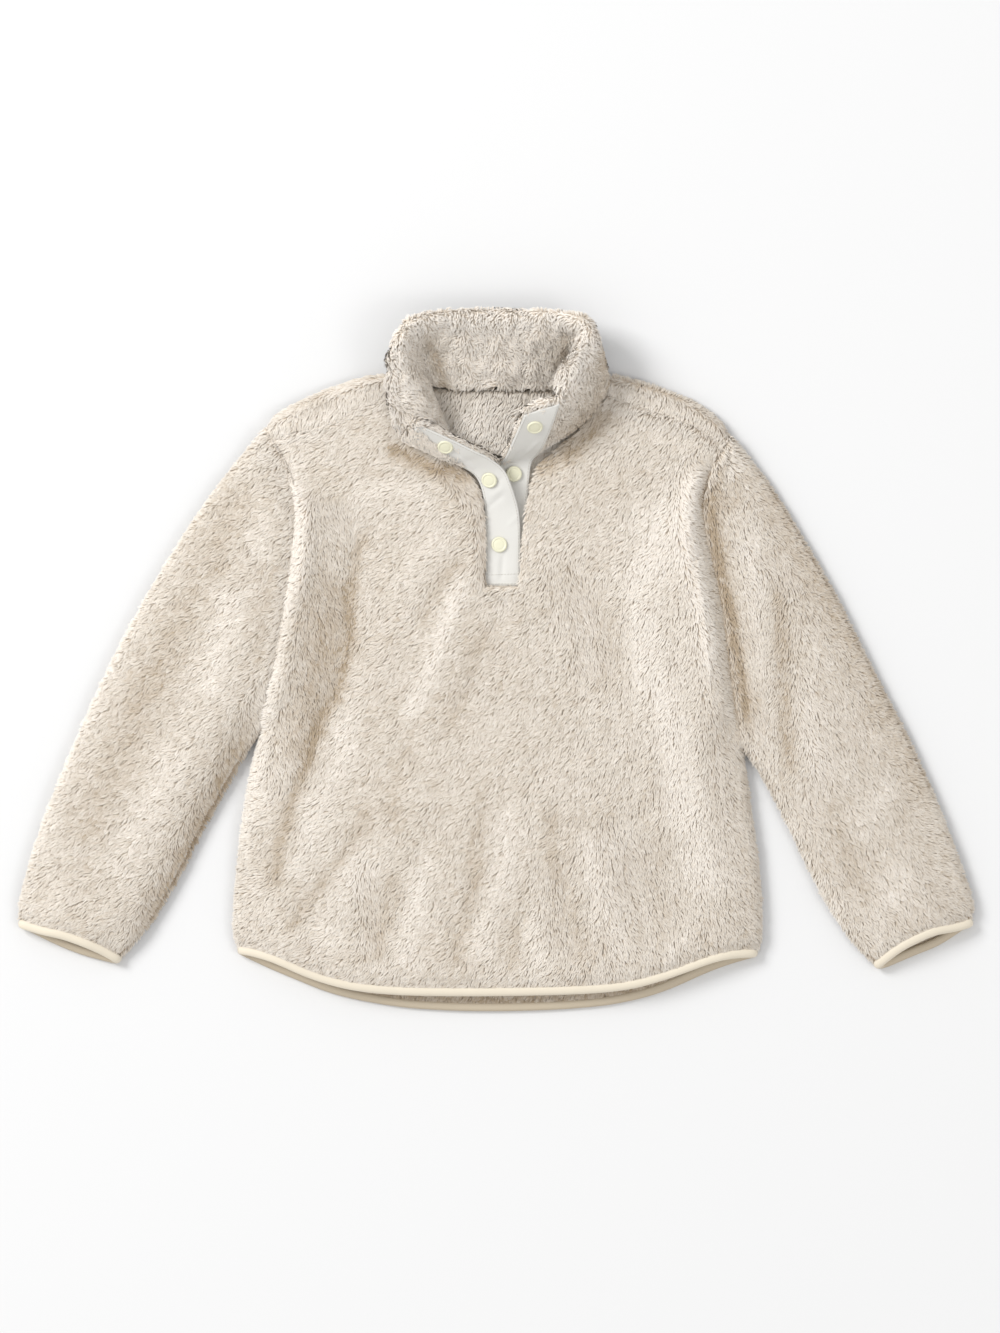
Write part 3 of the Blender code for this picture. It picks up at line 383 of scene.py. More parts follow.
def pileMaterial():
    made, shade, surface = newMaterial("fleecePile", fleece)
    place = shade.node("ShaderNodeUVMap", {"uv_map": bakeMap})
    across = shade.node("ShaderNodeSeparateXYZ", None, {0: place})
    up = across.other(1)
    stops = [(0.0, fleece["root"]), (0.5, fleece["middle"]), (1.0, fleece["tip"])]
    along = shade.node("ShaderNodeValToRGB", {"stops": stops}, {0: up})
    # the ramp along u: random tone, and the painted light and shade of slopes, folds and hollows
    toneAndShade = shade.node("ShaderNodeValToRGB", {"stops": fleece["shades"]}, {0: across})
    colour = shade.node("ShaderNodeMix", {"data_type": "RGBA", "blend_type": "MULTIPLY"},
                        {0: 1.0, 6: along, 7: toneAndShade}, out=2)
    feed(shade, surface, "Base Color", colour)
    return made


def groundMaterial():
    made, shade, surface = newMaterial("fleeceGround", fleece)
    place = shade.node("ShaderNodeTexCoord", None, out=3)
    loops = shade.node("ShaderNodeTexNoise", None, {"Vector": place, "Scale": 700.0, "Detail": 3.0})
    clouds = shade.node("ShaderNodeTexNoise", None, {"Vector": place, "Scale": 60.0, "Detail": 2.0})
    # two tans mixed by noise, both darker than the pile: painted shade deep in the pile
    mask = loops * 0.7 + clouds * 0.5
    feed(shade, surface, "Base Color", mask.mix(fleece["colour"], fleece["ground"]))
    bump = shade.node("ShaderNodeBump", None, {"Strength": 0.6, "Distance": 0.001, "Height": loops})
    feed(shade, surface, "Normal", bump)
    return made


pileStuff, groundStuff = pileMaterial(), groundMaterial()


# Panels

# where a band list feeds the pile's tint, tone above 0 paints light and below 0 paints shade; where it feeds
# the cloth, tone raises or lowers it
Band = namedtuple("Band", "width tone places")       # tone: above 0 a light ridge, below a dark trough
# front: painted light on slopes facing the key, painted shade on slopes turned away, painted shadow under the
# collar's ends and in the armhole groove; these also shape the cloth
frontBands = [
    Band(9, -0.72, [(-116, 142), (-141, 119), (-150, 61), (-150, 20), (-162, -27), (-181, -63),
        (-199, -115), (-214, -167), (-225, -217), (-231, -253)]),
    Band(26, -0.5, [(-167, 103), (-178, 20), (-191, -43), (-208, -115)]),
    Band(9, -0.5, [(-123, -141), (-150, -193), (-173, -225), (-199, -261), (-223, -280)]),
    Band(8, -0.35, [(-27, 111), (-58, 72), (-77, 35)]),
    Band(10, -0.4, [(2, 49), (-19, -1), (-33, -37), (-43, -84)]),
    Band(9, -0.45, [(-8, -115), (-17, -188), (-20, -225), (-27, -261), (-36, -297), (-48, -329)]),
    Band(11, -0.4, [(-98, -214), (-108, -251), (-121, -287), (-123, -318)]),
    Band(10, -0.4, [(59, -136), (64, -199), (74, -240), (87, -282), (92, -323)]),
    Band(7, -0.4, [(27, -271), (19, -321)]),
    Band(17, -0.25, [(106, 77), (124, 20), (120, -43)]),
    Band(24, -0.25, [(150, -79), (158, -147), (162, -219), (200, -266)]),
    Band(12, -0.3, [(-87, -84), (-100, -136), (-108, -178)]),
    Band(11, 0.75, [(-220, 212), (-204, 165), (-204, 113), (-215, 70), (-230, 38), (-235, -22),
        (-243, -84), (-256, -147), (-260, -230)]),
    Band(9, 0.65, [(-25, 101), (-43, 51), (-58, 9), (-74, -32), (-94, -69)]),
    Band(15, 0.45, [(-146, -32), (-157, -105), (-178, -147), (-199, -199), (-208, -230)]),
    Band(12, 0.35, [(-46, 128), (-71, 107), (-100, 77)]),
    Band(18, 0.4, [(-123, -188), (-157, -245), (-173, -303)]),
    Band(11, 0.5, [(-62, -199), (-81, -251), (-92, -323)]),
    Band(13, 0.4, [(17, -126), (12, -209), (-1, -261), (-23, -318)]),
    Band(9, 0.4, [(40, -256), (47, -321)]),
    Band(12, 0.4, [(94, -167), (113, -251), (135, -318)]),
    Band(19, 0.5, [(183, 202), (171, 124), (152, 61), (156, 9), (176, -43), (193, -115),
        (212, -199), (233, -256)]),
    Band(10, 0.3, [(206, -277), (171, -315)]),
    Band(11, 0.3, [(-152, 168), (-105, 177), (-58, 165)]),
    Band(4, -0.9, [(227, 215), (216, 177), (214, 154), (223, 109), (235, 53), (244, -21), (255, -95)]),
    Band(10, -0.95, [(-112, 224), (-84, 212), (-58, 199), (-22, 190)]),
    Band(12, -0.85, [(36, 196), (66, 210), (98, 232), (124, 268)]),
    Band(60, 0.22, [(150, 180), (165, 0), (180, -300)]),
    Band(9, 0.5, [(208, 200), (196, 160), (200, 108), (213, 50), (224, -20)]),
    Band(8, 0.35, [(214, 205), (198, 160), (202, 103), (215, 41), (225, -32)]),
]
# sleeves: painted light and shade of their folds and painted shade beside the armhole, as on the front; these
# also shape the cloth
leftBands = [
    Band(22, -0.4, [(-243, 212), (-303, 82), (-344, -1), (-391, -105), (-438, -211)]),
    Band(17, 0.45, [(-268, 82), (-283, 20), (-295, -43)]),
    Band(12, 0.35, [(-237, 160), (-243, 103)]),
    Band(22, 0.3, [(-318, -89), (-360, -162), (-401, -230)]),
    Band(9, -0.7, [(-251, -58), (-285, -126), (-312, -178), (-344, -235), (-370, -287)]),
    Band(12, 0.4, [(-277, 228), (-349, 103), (-401, -1), (-453, -126), (-479, -230)]),
    Band(8, -0.3, [(-229, 165), (-224, 113), (-237, 41), (-243, -22)]),
]
rightBands = [
    Band(19, -0.35, [(261, 217), (321, 103), (379, -4), (425, -89), (457, -157)]),
    Band(9, -0.6, [(293, 93), (300, 9), (301, -58), (312, -126)]),
    Band(15, 0.35, [(266, 160), (262, 61), (271, -32)]),
    Band(13, 0.4, [(322, -32), (329, -121)]),
    Band(12, -0.35, [(342, -126), (368, -214), (387, -256)]),
    Band(14, 0.35, [(410, -115), (387, -162), (376, -188)]),
    Band(16, 0.3, [(425, -209), (399, -256)]),
    Band(5, -0.8, [(240, 219), (225, 177), (222, 154), (229, 109), (242, 53), (253, -21), (263, -95)]),
    Band(15, -0.55, [(246, 190), (229, 150), (234, 100), (246, 50), (258, -20), (266, -80)]),
    Band(9, 0.3, [(285, -147), (327, -230), (368, -303)]),
]
armholeRolls = [                                    # height only
    Band(11, 1.7, [(214, 208), (198, 165), (201, 108), (214, 50), (224, -20), (236, -80)]),
    Band(9, 0.8, [(-206, 190), (-196, 150), (-200, 100), (-208, 50), (-220, -10), (-236, -60)]),
]
backBands = [
    Band(20, -0.4, [(-180, 100), (-196, -20), (-214, -200)]),
    Band(20, -0.4, [(190, 120), (205, 0), (222, -210)]),
    Band(18, -0.3, [(-60, -90), (-80, -220), (-96, -330)]),
    Band(18, -0.3, [(70, -90), (86, -220), (104, -330)]),
    Band(24, 0.3, [(-5, 120), (5, -60), (8, -320)]),
]
# tone: strength of the bands' painted light and shade in the tint; rise: their height in millimetres
bandLook = {"rise": 2.2, "tone": 0.52, "fade": 0.12, "steps": 6}


def banded(places, bands):
    # the sum of the bands at each place, fading out at either end of each
    total = np.zeros(len(places))
    for band in bands:
        gap, along = nearest(places[:, :2], Track(band.places, bandLook["steps"]).points)
        fade = smooth(np.minimum(along, 1 - along) / bandLook["fade"])
        total += band.tone * np.exp(-(gap / band.width) ** 2) * fade
    return total


Spot = namedtuple("Spot", "x y ahead up reach")
frontNap = [
    Spot(-215, 170, -0.85, -0.5, 40), Spot(-140, 180, -0.8, -0.55, 60), Spot(-130, 60, -0.75, -0.65, 60),
    Spot(-60, 20, -0.75, -0.65, 70), Spot(-100, -120, -0.7, -0.7, 70), Spot(-200, -230, -0.75, -0.7, 60),
    Spot(-60, -270, -0.65, -0.75, 50), Spot(20, -200, -0.6, -0.8, 60), Spot(0, -80, -0.7, -0.75, 70),
    Spot(60, -20, -0.6, -0.8, 60), Spot(60, 100, -0.6, -0.7, 50), Spot(100, -120, -0.45, -0.9, 60),
    Spot(150, -20, -0.4, -0.9, 60), Spot(120, 150, -0.6, -0.7, 60), Spot(175, 120, -0.5, -0.8, 50),
    Spot(190, 220, -0.5, -0.8, 40), Spot(190, -120, -0.2, -1.0, 50), Spot(200, -260, 0.2, -0.95, 50),
]
Sweep = namedtuple("Sweep", "width ahead up places")         # pile combed one way along a line
frontSweeps = [
    Sweep(20, 0.55, -0.85, [(-170, 145), (-175, 82), (-183, 20), (-199, -43), (-219, -105)]),
    Sweep(12, -0.9, -0.4, [(-214, 165), (-219, 61), (-239, -32), (-251, -126), (-256, -230)]),
    Sweep(10, 0.4, -0.9, [(-133, -225), (-126, -303)]),
    Sweep(10, 0.4, -0.9, [(59, -230), (69, -303)]),
    Sweep(24, 0.5, -0.85, [(129, -199), (145, -282)]),
    Sweep(18, 0.5, -0.85, [(77, 77), (103, 9)]),
    Sweep(12, 0.95, -0.25, [(212, 197), (202, 154), (208, 109), (216, 70)]),
    Sweep(12, 0.75, -0.65, [(218, 60), (229, -21), (241, -84), (252, -188), (262, -271)]),
    Sweep(5, 0.4, -0.9, [(-22, 170), (-16, 150), (-15, 114), (-15, 80)]),
    Sweep(9, 0.9, -0.35, [(-48, 196), (-26, 172)]),
]
leftNap = [
    Spot(-300, 60, -0.8, -0.6, 90), Spot(-380, -100, -0.8, -0.6, 90), Spot(-440, -220, -0.8, -0.6, 80),
]
leftSweeps = [Sweep(10, 0.65, -0.75, [(-237, -32), (-268, -97), (-300, -157), (-336, -219), (-365, -282)])]
rightNap = [Spot(262, 120, 0.45, -0.9, 60), Spot(320, -20, 0.55, -0.85, 80), Spot(400, -200, 0.6, -0.8, 80)]
rightSweeps = [
    Sweep(14, 1.0, -0.12, [(256, 215), (281, 188), (306, 145), (338, 90), (368, 35), (415, -69), (441, -131),
                           (472, -240)]),
    Sweep(14, -0.5, -0.85, [(290, 60), (296, -60), (310, -120)]),
    Sweep(10, -0.3, -0.95, [(262, -100), (310, -190), (352, -270)]),
]
backNap = [Spot(0, 240, -0.3, -1.0, 200), Spot(0, -300, -0.3, -1.0, 200)]
# side: strength of the painted light on slopes that face the key
napLook = {
    "slope": 2.6, "flat": 0.18, "steep": 0.5, "most": 2.2, "side": 0.16, "calm": 13.0, "still": 0.85,
    "lift": 1.2, "sweep": 4.0, "hang": 4.0,
}
calmSeams = [
    Track([(-239, -40), (-227, -1), (-218, 51), (-211, 103), (-207, 145), (-208, 176), (-215, 202),
           (-238, 241)]),
    Track([(-92, 276), (-139, 266), (-166, 248), (-190, 240), (-212, 236), (-236, 237)]),
    Track([(112, 276), (137, 266), (160, 259), (186, 250), (212, 240), (236, 230)]),
]


def besideSeam(places):
    gap = np.min([nearest(places[:, :2], seam.points)[0] for seam in calmSeams], axis=0)
    return np.exp(-(gap / napLook["calm"]) ** 2)


def napFlow(places, normals, spots, sweeps=()):
    # the way the pile lies: swept from spot to spot, bent down every steep slope
    total = np.zeros((len(places), 3))
    for spot in spots:
        far = np.hypot(places[:, 0] - spot.x, places[:, 1] - spot.y) / spot.reach
        total += (np.exp(-far ** 2) + 1e-5)[:, None] * np.array([spot.ahead, spot.up, 0])
    total = unit(total)
    for sweep in sweeps:
        gap = nearest(places[:, :2], Track(sweep.places, bandLook["steps"]).points)[0]
        share = napLook["sweep"] * np.exp(-(gap / sweep.width) ** 2)
        total += share[:, None] * np.array([sweep.ahead, sweep.up, 0])
    total = unit(total)
    tilt = np.linalg.norm(normals[:, :2], axis=1, keepdims=True)
    calm = 1 - napLook["still"] * besideSeam(places)[:, None] * (normals[:, 2:] > 0.1)
    pull = napLook["slope"] * smooth((tilt - napLook["flat"]) / napLook["steep"]) * calm
    total[:, :2] += normals[:, :2] / np.maximum(tilt, 1e-6) * np.minimum(pull * tilt, napLook["most"])
    total[:, 2] -= napLook["hang"] * smooth((0.2 - normals[:, 2]) / 0.3)      # below an edge it hangs down
    return total + normals * 1e-3


panelLook = {
    "inset": 1.3, "spacing": 1.48, "neck": (8, 215), "neckReach": 108,
    "slit": 6, "slitHalf": 36, "slitFoot": 70,
}


def clothPanel(name, node, bands, rolls=(), kind="CATMULL_CLARK", levels=1):
    mesh = softened(node, kind, levels)
    surface = surfaceOf(mesh)
    points = surface.points.copy()
    outside = smooth(surface.normals[:, 2] * 2)
    rise = banded(points, [*bands, *rolls]) * bandLook["rise"]
    points[:, 2] += (rise + besideSeam(points) * napLook["lift"]) * outside
    under = smooth(-surface.normals[:, 2] * 2 - 0.6) * (points[:, 2] < 1)
    points[:, 2] += np.maximum(0, -banded(points, backBands)) * bandLook["rise"] * under
    setPoints(mesh, points)
    full = surfaceOf(mesh)
    inset = full.normals * panelLook["inset"]
    inset[:, 2] = np.where(full.points[:, 2] < 0.5, 0, inset[:, 2])
    # round the neck and along the slit the cloth isn't drawn in sideways, so no gap opens there
    x, y = full.points[:, 0], full.points[:, 1]
    neckX, neckY = panelLook["neck"]
    neck = np.hypot(x - neckX, (y - neckY) * 0.9) < panelLook["neckReach"]
    slit = (abs(x - panelLook["slit"]) < panelLook["slitHalf"]) & (y > panelLook["slitFoot"])
    inset[(neck | slit), :2] = 0
    setPoints(mesh, full.points - inset)
    made = newObject(name, mesh, groundStuff)
    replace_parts(made, node)
    return made, full


# seam sets the painted highlight beside each seam; inside sets the painted shade in the hem's inside
tintLook = {
    "base": 0.56, "clouds": 0.035, "cloudSize": 45, "flecks": 0.03, "fleckSize": 14, "seam": 0.12,
    "inside": 0.42, "insideBelow": -308, "insideUnder": 9,
}


def tintOf(roots, seed, bands):
    # clouds and flecks of the fleece's own tone; painted light on the side to the light; painted shade in the
    # hem's inside; painted light and shade of the folds; painted highlight on the roll beside each seam
    look = tintLook
    places, normals = roots.places, roots.normals
    clouds = look["clouds"] * wander(places, look["cloudSize"], seed)
    base = look["base"] + clouds + look["flecks"] * wander(places, look["fleckSize"], seed + 1)
    # painted light: cloth facing up and to the left, towards the key, is lighter
    lit = (normals[:, 1] * 0.4 - normals[:, 0]) * napLook["side"]
    # painted shade: the back's hem inside, under the front's hem, is darker
    base -= look["inside"] * ((places[:, 1] < look["insideBelow"]) & (places[:, 2] < look["insideUnder"]))
    # painted highlight on the raised roll beside each seam
    seamRollLight = besideSeam(places) * look["seam"] * (normals[:, 2] > 0)
    return base + lit + banded(places, bands) * bandLook["tone"] + seamRollLight


def furred(name, surface, keep, nap, bands, seed, **changes):
    roots = scatter(surface, panelLook["spacing"], keep, seed)
    flow = napFlow(roots.places, roots.normals, *nap)
    return growPile(name, roots, flow, tintOf(roots, seed + 1, bands), pileStuff, seed + 2, **changes)


bare = {"left": -11, "right": 26, "foot": 75.5, "head": 168}         # what the placket covers
halfway = 4                                         # the two halves of the front's pile meet here


def frontHalf(sign):
    def keep(places, facing):
        x, y = places[:, 0], places[:, 1]
        covered = (x > bare["left"]) & (x < bare["right"]) & (y > bare["foot"]) & (y < bare["head"])
        return (facing[:, 2] > -0.5) & ((x - halfway) * sign >= 0) & ~covered
    return keep


frontCloth, frontSurface = clothPanel("front_cloth", "front", frontBands, armholeRolls)
for sideName, sign in (("left", -1), ("right", 1)):
    furred("front_pile_" + sideName, frontSurface, frontHalf(sign),
                             (frontNap, frontSweeps), frontBands, 11 + sign)

sleeves = {}
for sideName, nap, bands, flat in (("left", (leftNap, leftSweeps), leftBands, (0.64, 0.57)),
                                   ("right", (rightNap, rightSweeps), rightBands, (0.64, 0.56))):
    node = "sleeve_" + sideName
    cloth, surface = clothPanel(node + "_cloth", node, bands)
    pile = furred(node + "_pile", surface,
                  lambda c, f: (f[:, 2] > -0.7) & ((c[:, 2] > 14) | (abs(f[:, 2]) < 0.75)), nap, bands, 31)
    sleeves[sideName] = cloth, pile, flat

# the back's pile grows where it shows: inside the neck, on the shoulders, below the hem and at the sides
# painted light: the back's pile inside the neck is lighter
neckBands = [Band(34, 0.75, [(-40, 262), (0, 236), (30, 232), (78, 266)])]
backCloth, backSurface = clothPanel("back_cloth", "back", [], (), "SIMPLE", 2)
backPile = furred("back_pile", backSurface,
                  lambda c, f: (f[:, 2] > -0.5) & ((c[:, 1] > 175) | (c[:, 1] < -312) | (abs(f[:, 2]) < 0.8)),
                  (backNap, ()), neckBands, 41)

print("panels made")

# Collar, from the same sections as the part's

Rib = namedtuple("Rib", "x y z kneeX kneeY kneeZ rimX rimY rimZ thick")
collarRibs = [
    Rib(2, 207, 31, -40, 229, 46, -82, 247, 52, 6),
    Rib(-16, 205, 25.5, -53, 222, 37, -89, 239, 41, 6.5),
    Rib(-31, 204, 20, -64, 215, 29, -95, 231, 29, 7),
    Rib(-38, 209, 17, -69, 220, 27, -101, 238, 27.5, 8),
    Rib(-46, 220, 14, -68, 229, 34, -104, 250, 32, 11),
    Rib(-56, 238, 12, -67, 245, 42, -106, 268, 37, 16),
    Rib(-65, 258, 12, -72, 261, 46, -106, 287, 41, 18),
    Rib(-71, 272, 11, -77, 279, 46, -104, 306, 45, 18),
    Rib(-74, 283, 13.5, -84, 310, 26, -98, 329, 46, 18),
    Rib(-61, 285, 9.6, -76, 320, 11, -85, 345, 42, 18),
    Rib(-44, 282.4, 8.2, -52, 312, 10, -58, 352, 36, 18),
    Rib(-16, 282.2, 8.2, -18, 310, 10, -22, 353, 33, 18),
    Rib(16, 282.2, 8.2, 17, 310, 10, 20, 353, 33, 18),
    Rib(50, 282.4, 8.2, 54, 312, 10, 60, 352, 37, 18),
    Rib(78, 285, 9.4, 84, 320, 10, 86, 348, 45, 19),
    Rib(98, 287, 12.5, 105, 308, 29, 96, 334, 54, 20),
    Rib(104, 280, 11, 113, 290, 44, 90, 318, 59, 20),
    Rib(98, 266, 12, 107, 273, 48, 81, 304, 63, 20),
    Rib(87, 252, 12, 97, 261, 52, 74, 294, 66, 19),
    Rib(71, 239, 12, 81, 250, 54, 69, 285, 67.5, 17),
    Rib(54, 227, 12, 65, 240, 52, 66, 277, 68, 13),
    Rib(39, 216, 13, 54, 232, 46, 64, 269, 68, 9),
    Rib(22, 211, 15, 35, 231, 44, 47, 263, 67, 8),
    Rib(5, 206, 17, 17, 229, 42, 29, 257, 66, 7),
]
# collar, tint only: painted light on the rims and the back's inside, painted shade along the walls' inner
# feet and on the right wall's outer side
collarBands = [
    Band(7, -1.1, [(-68, 342), (-66, 320), (-58, 296), (-50, 268), (-38, 244)]),
    Band(9, -0.9, [(74, 346), (73, 330), (62, 300)]),
    Band(12, 1.3, [(-98, 352), (-106, 320), (-112, 286), (-108, 258), (-92, 244), (-60, 232), (-22, 220)]),
    Band(9, 1.3, [(84, 350), (86, 320), (78, 294), (52, 266), (30, 246)]),
    Band(13, -0.9, [(110, 330), (112, 290), (92, 248), (64, 222)]),
    Band(8, 0.6, [(-90, 356), (-40, 360), (40, 360), (90, 356)]),
    Band(30, 0.35, [(-40, 320), (0, 318), (50, 320)]),
]
collarLook = {
    "round": 150, "up": 24, "inset": 0.7, "spacing": 1.6, "ribSteps": 10, "rimRound": 0.84, "rimSpan": 0.165,
    "footThin": 0.7, "footReach": 0.3, "slopeStep": 0.004, "lumps": 1.1, "light": 0.3, "rimLight": 0.2,
    "footShade": 0.15, "shadeReach": 0.06, "splayReach": 0.2, "insideStill": 0.45,
}
ribLine = Track(collarRibs, collarLook["ribSteps"])


def ribShare(rib):
    steps = np.asarray(rib) * collarLook["ribSteps"]
    return np.interp(steps, np.arange(len(ribLine.reach)), ribLine.reach) / ribLine.length


def collarMiddle(share, up):
    rib = ribLine.share(share)
    base, knee, rim, thick = rib[..., 0:3], rib[..., 3:6], rib[..., 6:9], rib[..., 9:10]
    tip = rim + unit(rim - knee) * thick / 2
    up = np.asarray(up)[..., None]
    return (1 - up) ** 2 * base + 2 * up * (1 - up) * knee + up ** 2 * tip, thick[..., 0]


def collarSides(share, up):
    step = collarLook["slopeStep"]
    centre, thick = collarMiddle(share, up)
    after, before = np.clip(share + step, 0, 1), np.clip(share - step, 0, 1)
    roundNeck = collarMiddle(after, up)[0] - collarMiddle(before, up)[0]
    high, low = np.clip(up + step, 0, 1), np.clip(up - step, 0, 1)
    toRim = collarMiddle(share, high)[0] - collarMiddle(share, low)[0]
    out = -unit(np.cross(roundNeck, toRim))
    rounded = np.sqrt(1 - np.clip((up - collarLook["rimRound"]) / collarLook["rimSpan"], 0, 1) ** 2)
    foot = collarLook["footThin"]
    rounded = rounded * (foot + (1 - foot) * smooth(up / collarLook["footReach"]))
    half = (thick * rounded / 2)[..., None]
    return centre + out * half, centre - out * half, out, toRim


def buildCollar():
    ups = 1 - (1 - np.linspace(0, 1, collarLook["up"])) ** 1.5
    share, up = np.meshgrid(np.linspace(0, 1, collarLook["round"]), ups, indexing="ij")
    outer, inner, _, toRim = collarSides(share, up)
    mesh = shellOf("collar_cloth", outer, inner)
    full = surfaceOf(mesh)
    lumps = wander(full.points, 9, 4) * collarLook["lumps"] * np.tile(smooth(up.ravel() / 0.3), 2)
    full = full._replace(points=full.points + full.normals * lumps[:, None])
    down = -unit(toRim).reshape(-1, 3)
    inside = np.repeat([0.0, 1.0], share.size)
    extra = np.column_stack([np.vstack([down, down]), np.tile(up.ravel(), 2),
                             np.tile(share.ravel(), 2), inside])
    setPoints(mesh, full.points - full.normals * collarLook["inset"])
    cloth = newObject("collar_cloth", mesh, groundStuff)
    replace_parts(cloth, "collar")
    roots = scatter(full, collarLook["spacing"], lambda c, f: np.ones(len(c), bool), 51, extra)
    down, up, inside = roots.extra[:, :3], roots.extra[:, 3], roots.extra[:, 5]
    rim = smooth((up - 0.7) / 0.2)
    # painted light over the whole collar and more on the rim, painted shade at the inner foot
    tint = tintOf(roots, 8, collarBands) + collarLook["light"] + collarLook["rimLight"] * rim
    tint -= collarLook["footShade"] * inside * np.exp(-(up / collarLook["shadeReach"]) ** 2)
    # the foot's pile splays over the seam, less so inside, and the rim's pile stands up
    foot = (1 - smooth(up / collarLook["splayReach"])) * (1 - collarLook["insideStill"] * inside)
    crown = smooth((up - 0.78) / 0.15)
    pile = growPile("collar_pile", roots, down, tint, pileStuff, 53, swirl=0.8, stray=0.5, length=7.0,
                    width=1.5, crest=0.9 + 1.2 * foot + 0.8 * crown, tip=0.3 + 4.0 * foot + 2.2 * crown,
                    crestNoise=0.5, upright=3.0)
    return cloth, pile


collarCloth, collarPile = buildCollar()

# Placket strips, along the front opening and then up the collar's ends

Place = namedtuple("Place", "x y z")
overFar = [Place(-11.3, 76, 12.3), Place(-11.3, 100, 12.3), Place(-11.3, 128, 12.3),
           Place(-11.5, 152, 13), Place(-14, 174, 17), Place(-22, 191, 20.5)]
overFront = [Place(25.4, 76, 12.3), Place(25.4, 100, 12.3), Place(25.4, 128, 12.6),
             Place(23.5, 154, 16), Place(16.5, 178, 25), Place(8, 196, 30.5)]
underLeft = [Place(-9, 77, 9.8), Place(-6, 100, 9.8), Place(-3, 124, 9.8), Place(0, 150, 9.9),
             Place(1, 175, 11), Place(2, 199, 14.3)]
underRight = [Place(25.2, 77, 9.8), Place(26.5, 100, 9.8), Place(27.8, 124, 9.8),
              Place(30.5, 150, 9.9), Place(33.5, 174, 11), Place(36.5, 203, 14.3)]
tape = {
    "colour": (0.735, 0.72, 0.68), "rough": 0.7, "sheen": 0.1, "thick": 2.0, "clearance": 1.3,
    "across": 21, "along": 110, "length": 205.0, "wide": 38.0, "ribs": 2, "seam": 0.06, "footRows": (1, 6),
    "steps": (0.1, 0.25, 0.4, 0.55, 0.7, 0.84, 0.93),
}


def stripGrid(oneEdge, otherEdge, ends):
    across = np.linspace(0, 1, tape["across"])
    share = ribShare(ends[0] + (ends[1] - ends[0]) * across)
    rows = [np.array(a) + (np.array(b) - np.array(a)) * across[:, None] for a, b in zip(oneEdge, otherEdge)]
    for up in tape["steps"]:
        outer, _, out, _ = collarSides(share, np.full(len(share), up))
        rows.append(outer + out * (tape["thick"] / 2 + tape["clearance"]))
    rows = np.array(rows)
    columns = [Track(rows[:, k], 8).share(np.linspace(0, 1, tape["along"])) for k in range(tape["across"])]
    return np.stack(columns, axis=1)


Wrinkle = namedtuple("Wrinkle", "along across along1 across1 width height")   # in mm along and across
overWrinkles = [
    Wrinkle(4, 17, 34, 20, 2.6, -0.8), Wrinkle(6, 12, 30, 14, 2.2, 0.4), Wrinkle(82, 2, 90, 26, 2.6, -0.8),
    Wrinkle(92, 6, 97, 30, 2.2, 0.6), Wrinkle(104, 10, 106, 34, 2.6, -0.6), Wrinkle(58, 24, 66, 37, 2.4, 0.5),
    Wrinkle(128, 8, 150, 16, 3.0, 0.5), Wrinkle(150, 20, 176, 26, 3.2, -0.6),
]
underWrinkles = [
    Wrinkle(122, 6, 150, 14, 2.6, -0.7), Wrinkle(136, 20, 160, 30, 2.6, 0.6),
    Wrinkle(96, 8, 112, 26, 2.4, -0.6),
]


def wrinkled(grid, wrinkles):
    # the strip's grid, moved along its normals by soft wrinkles
    out = gridNormals(grid)
    rise = np.zeros(grid.shape[:2])
    along = np.linspace(0, tape["length"], grid.shape[0])[:, None]
    across = np.linspace(0, tape["wide"], grid.shape[1])[None, :]
    places = np.stack(np.broadcast_arrays(along, across), -1).reshape(-1, 2)
    for one in wrinkles:
        line = np.array([(one.along, one.across), (one.along1, one.across1)], float)
        gap, share = nearest(places, line)
        fade = smooth(np.minimum(share, 1 - share) * 4 + 0.2)
        rise += (one.height * np.exp(-(gap / one.width) ** 2) * fade).reshape(rise.shape)
    return grid + out * rise[..., None]


def gridNormals(grid):
    return unit(np.cross(np.gradient(grid, axis=1), np.gradient(grid, axis=0)))


def tapeMaterial(name, look, low=None):
    made, shade, surface = newMaterial(name, look)
    place = shade.node("ShaderNodeTexCoord", None, out=3)
    weave = shade.node("ShaderNodeTexWave", {"bands_direction": "DIAGONAL"},
                       {"Vector": place, "Scale": 900.0, "Distortion": 0.6, "Detail": 2.0})
    fold = shade.node("ShaderNodeTexNoise", None, {"Vector": place, "Scale": 55.0, "Detail": 2.0})
    # darker in the weave's lines, the twill's own pattern, and in the hollows of the fold bump, which is
    # painted shade
    dark = tuple(value * 0.93 for value in look["colour"])
    colour = (fold * 0.8 + weave * 0.25).mix(dark, look["colour"])
    # painted shade: a darker colour below a given height
    if low:
        height = shade.node("ShaderNodeSeparateXYZ", None, {0: place}, out=2)
        ends = {1: low["from"] * metre, 2: low["to"] * metre}
        share = shade.node("ShaderNodeMapRange", None, {0: height, **ends})
        colour = share.mix(low["colour"], colour)
    feed(shade, surface, "Base Color", colour)
    bump = shade.node("ShaderNodeBump", None,
                      {"Strength": 0.25, "Distance": 0.0004, "Height": weave * 0.4 + fold})
    feed(shade, surface, "Normal", bump)
    return made


tapeStuff = tapeMaterial("placketTwill", tape)


thread = {
    "step": 3.3, "long": 2.5, "half": 0.28, "rise": 0.28, "slope": 0.18,
    "colour": (0.60, 0.58, 0.52), "rough": 0.6,
}


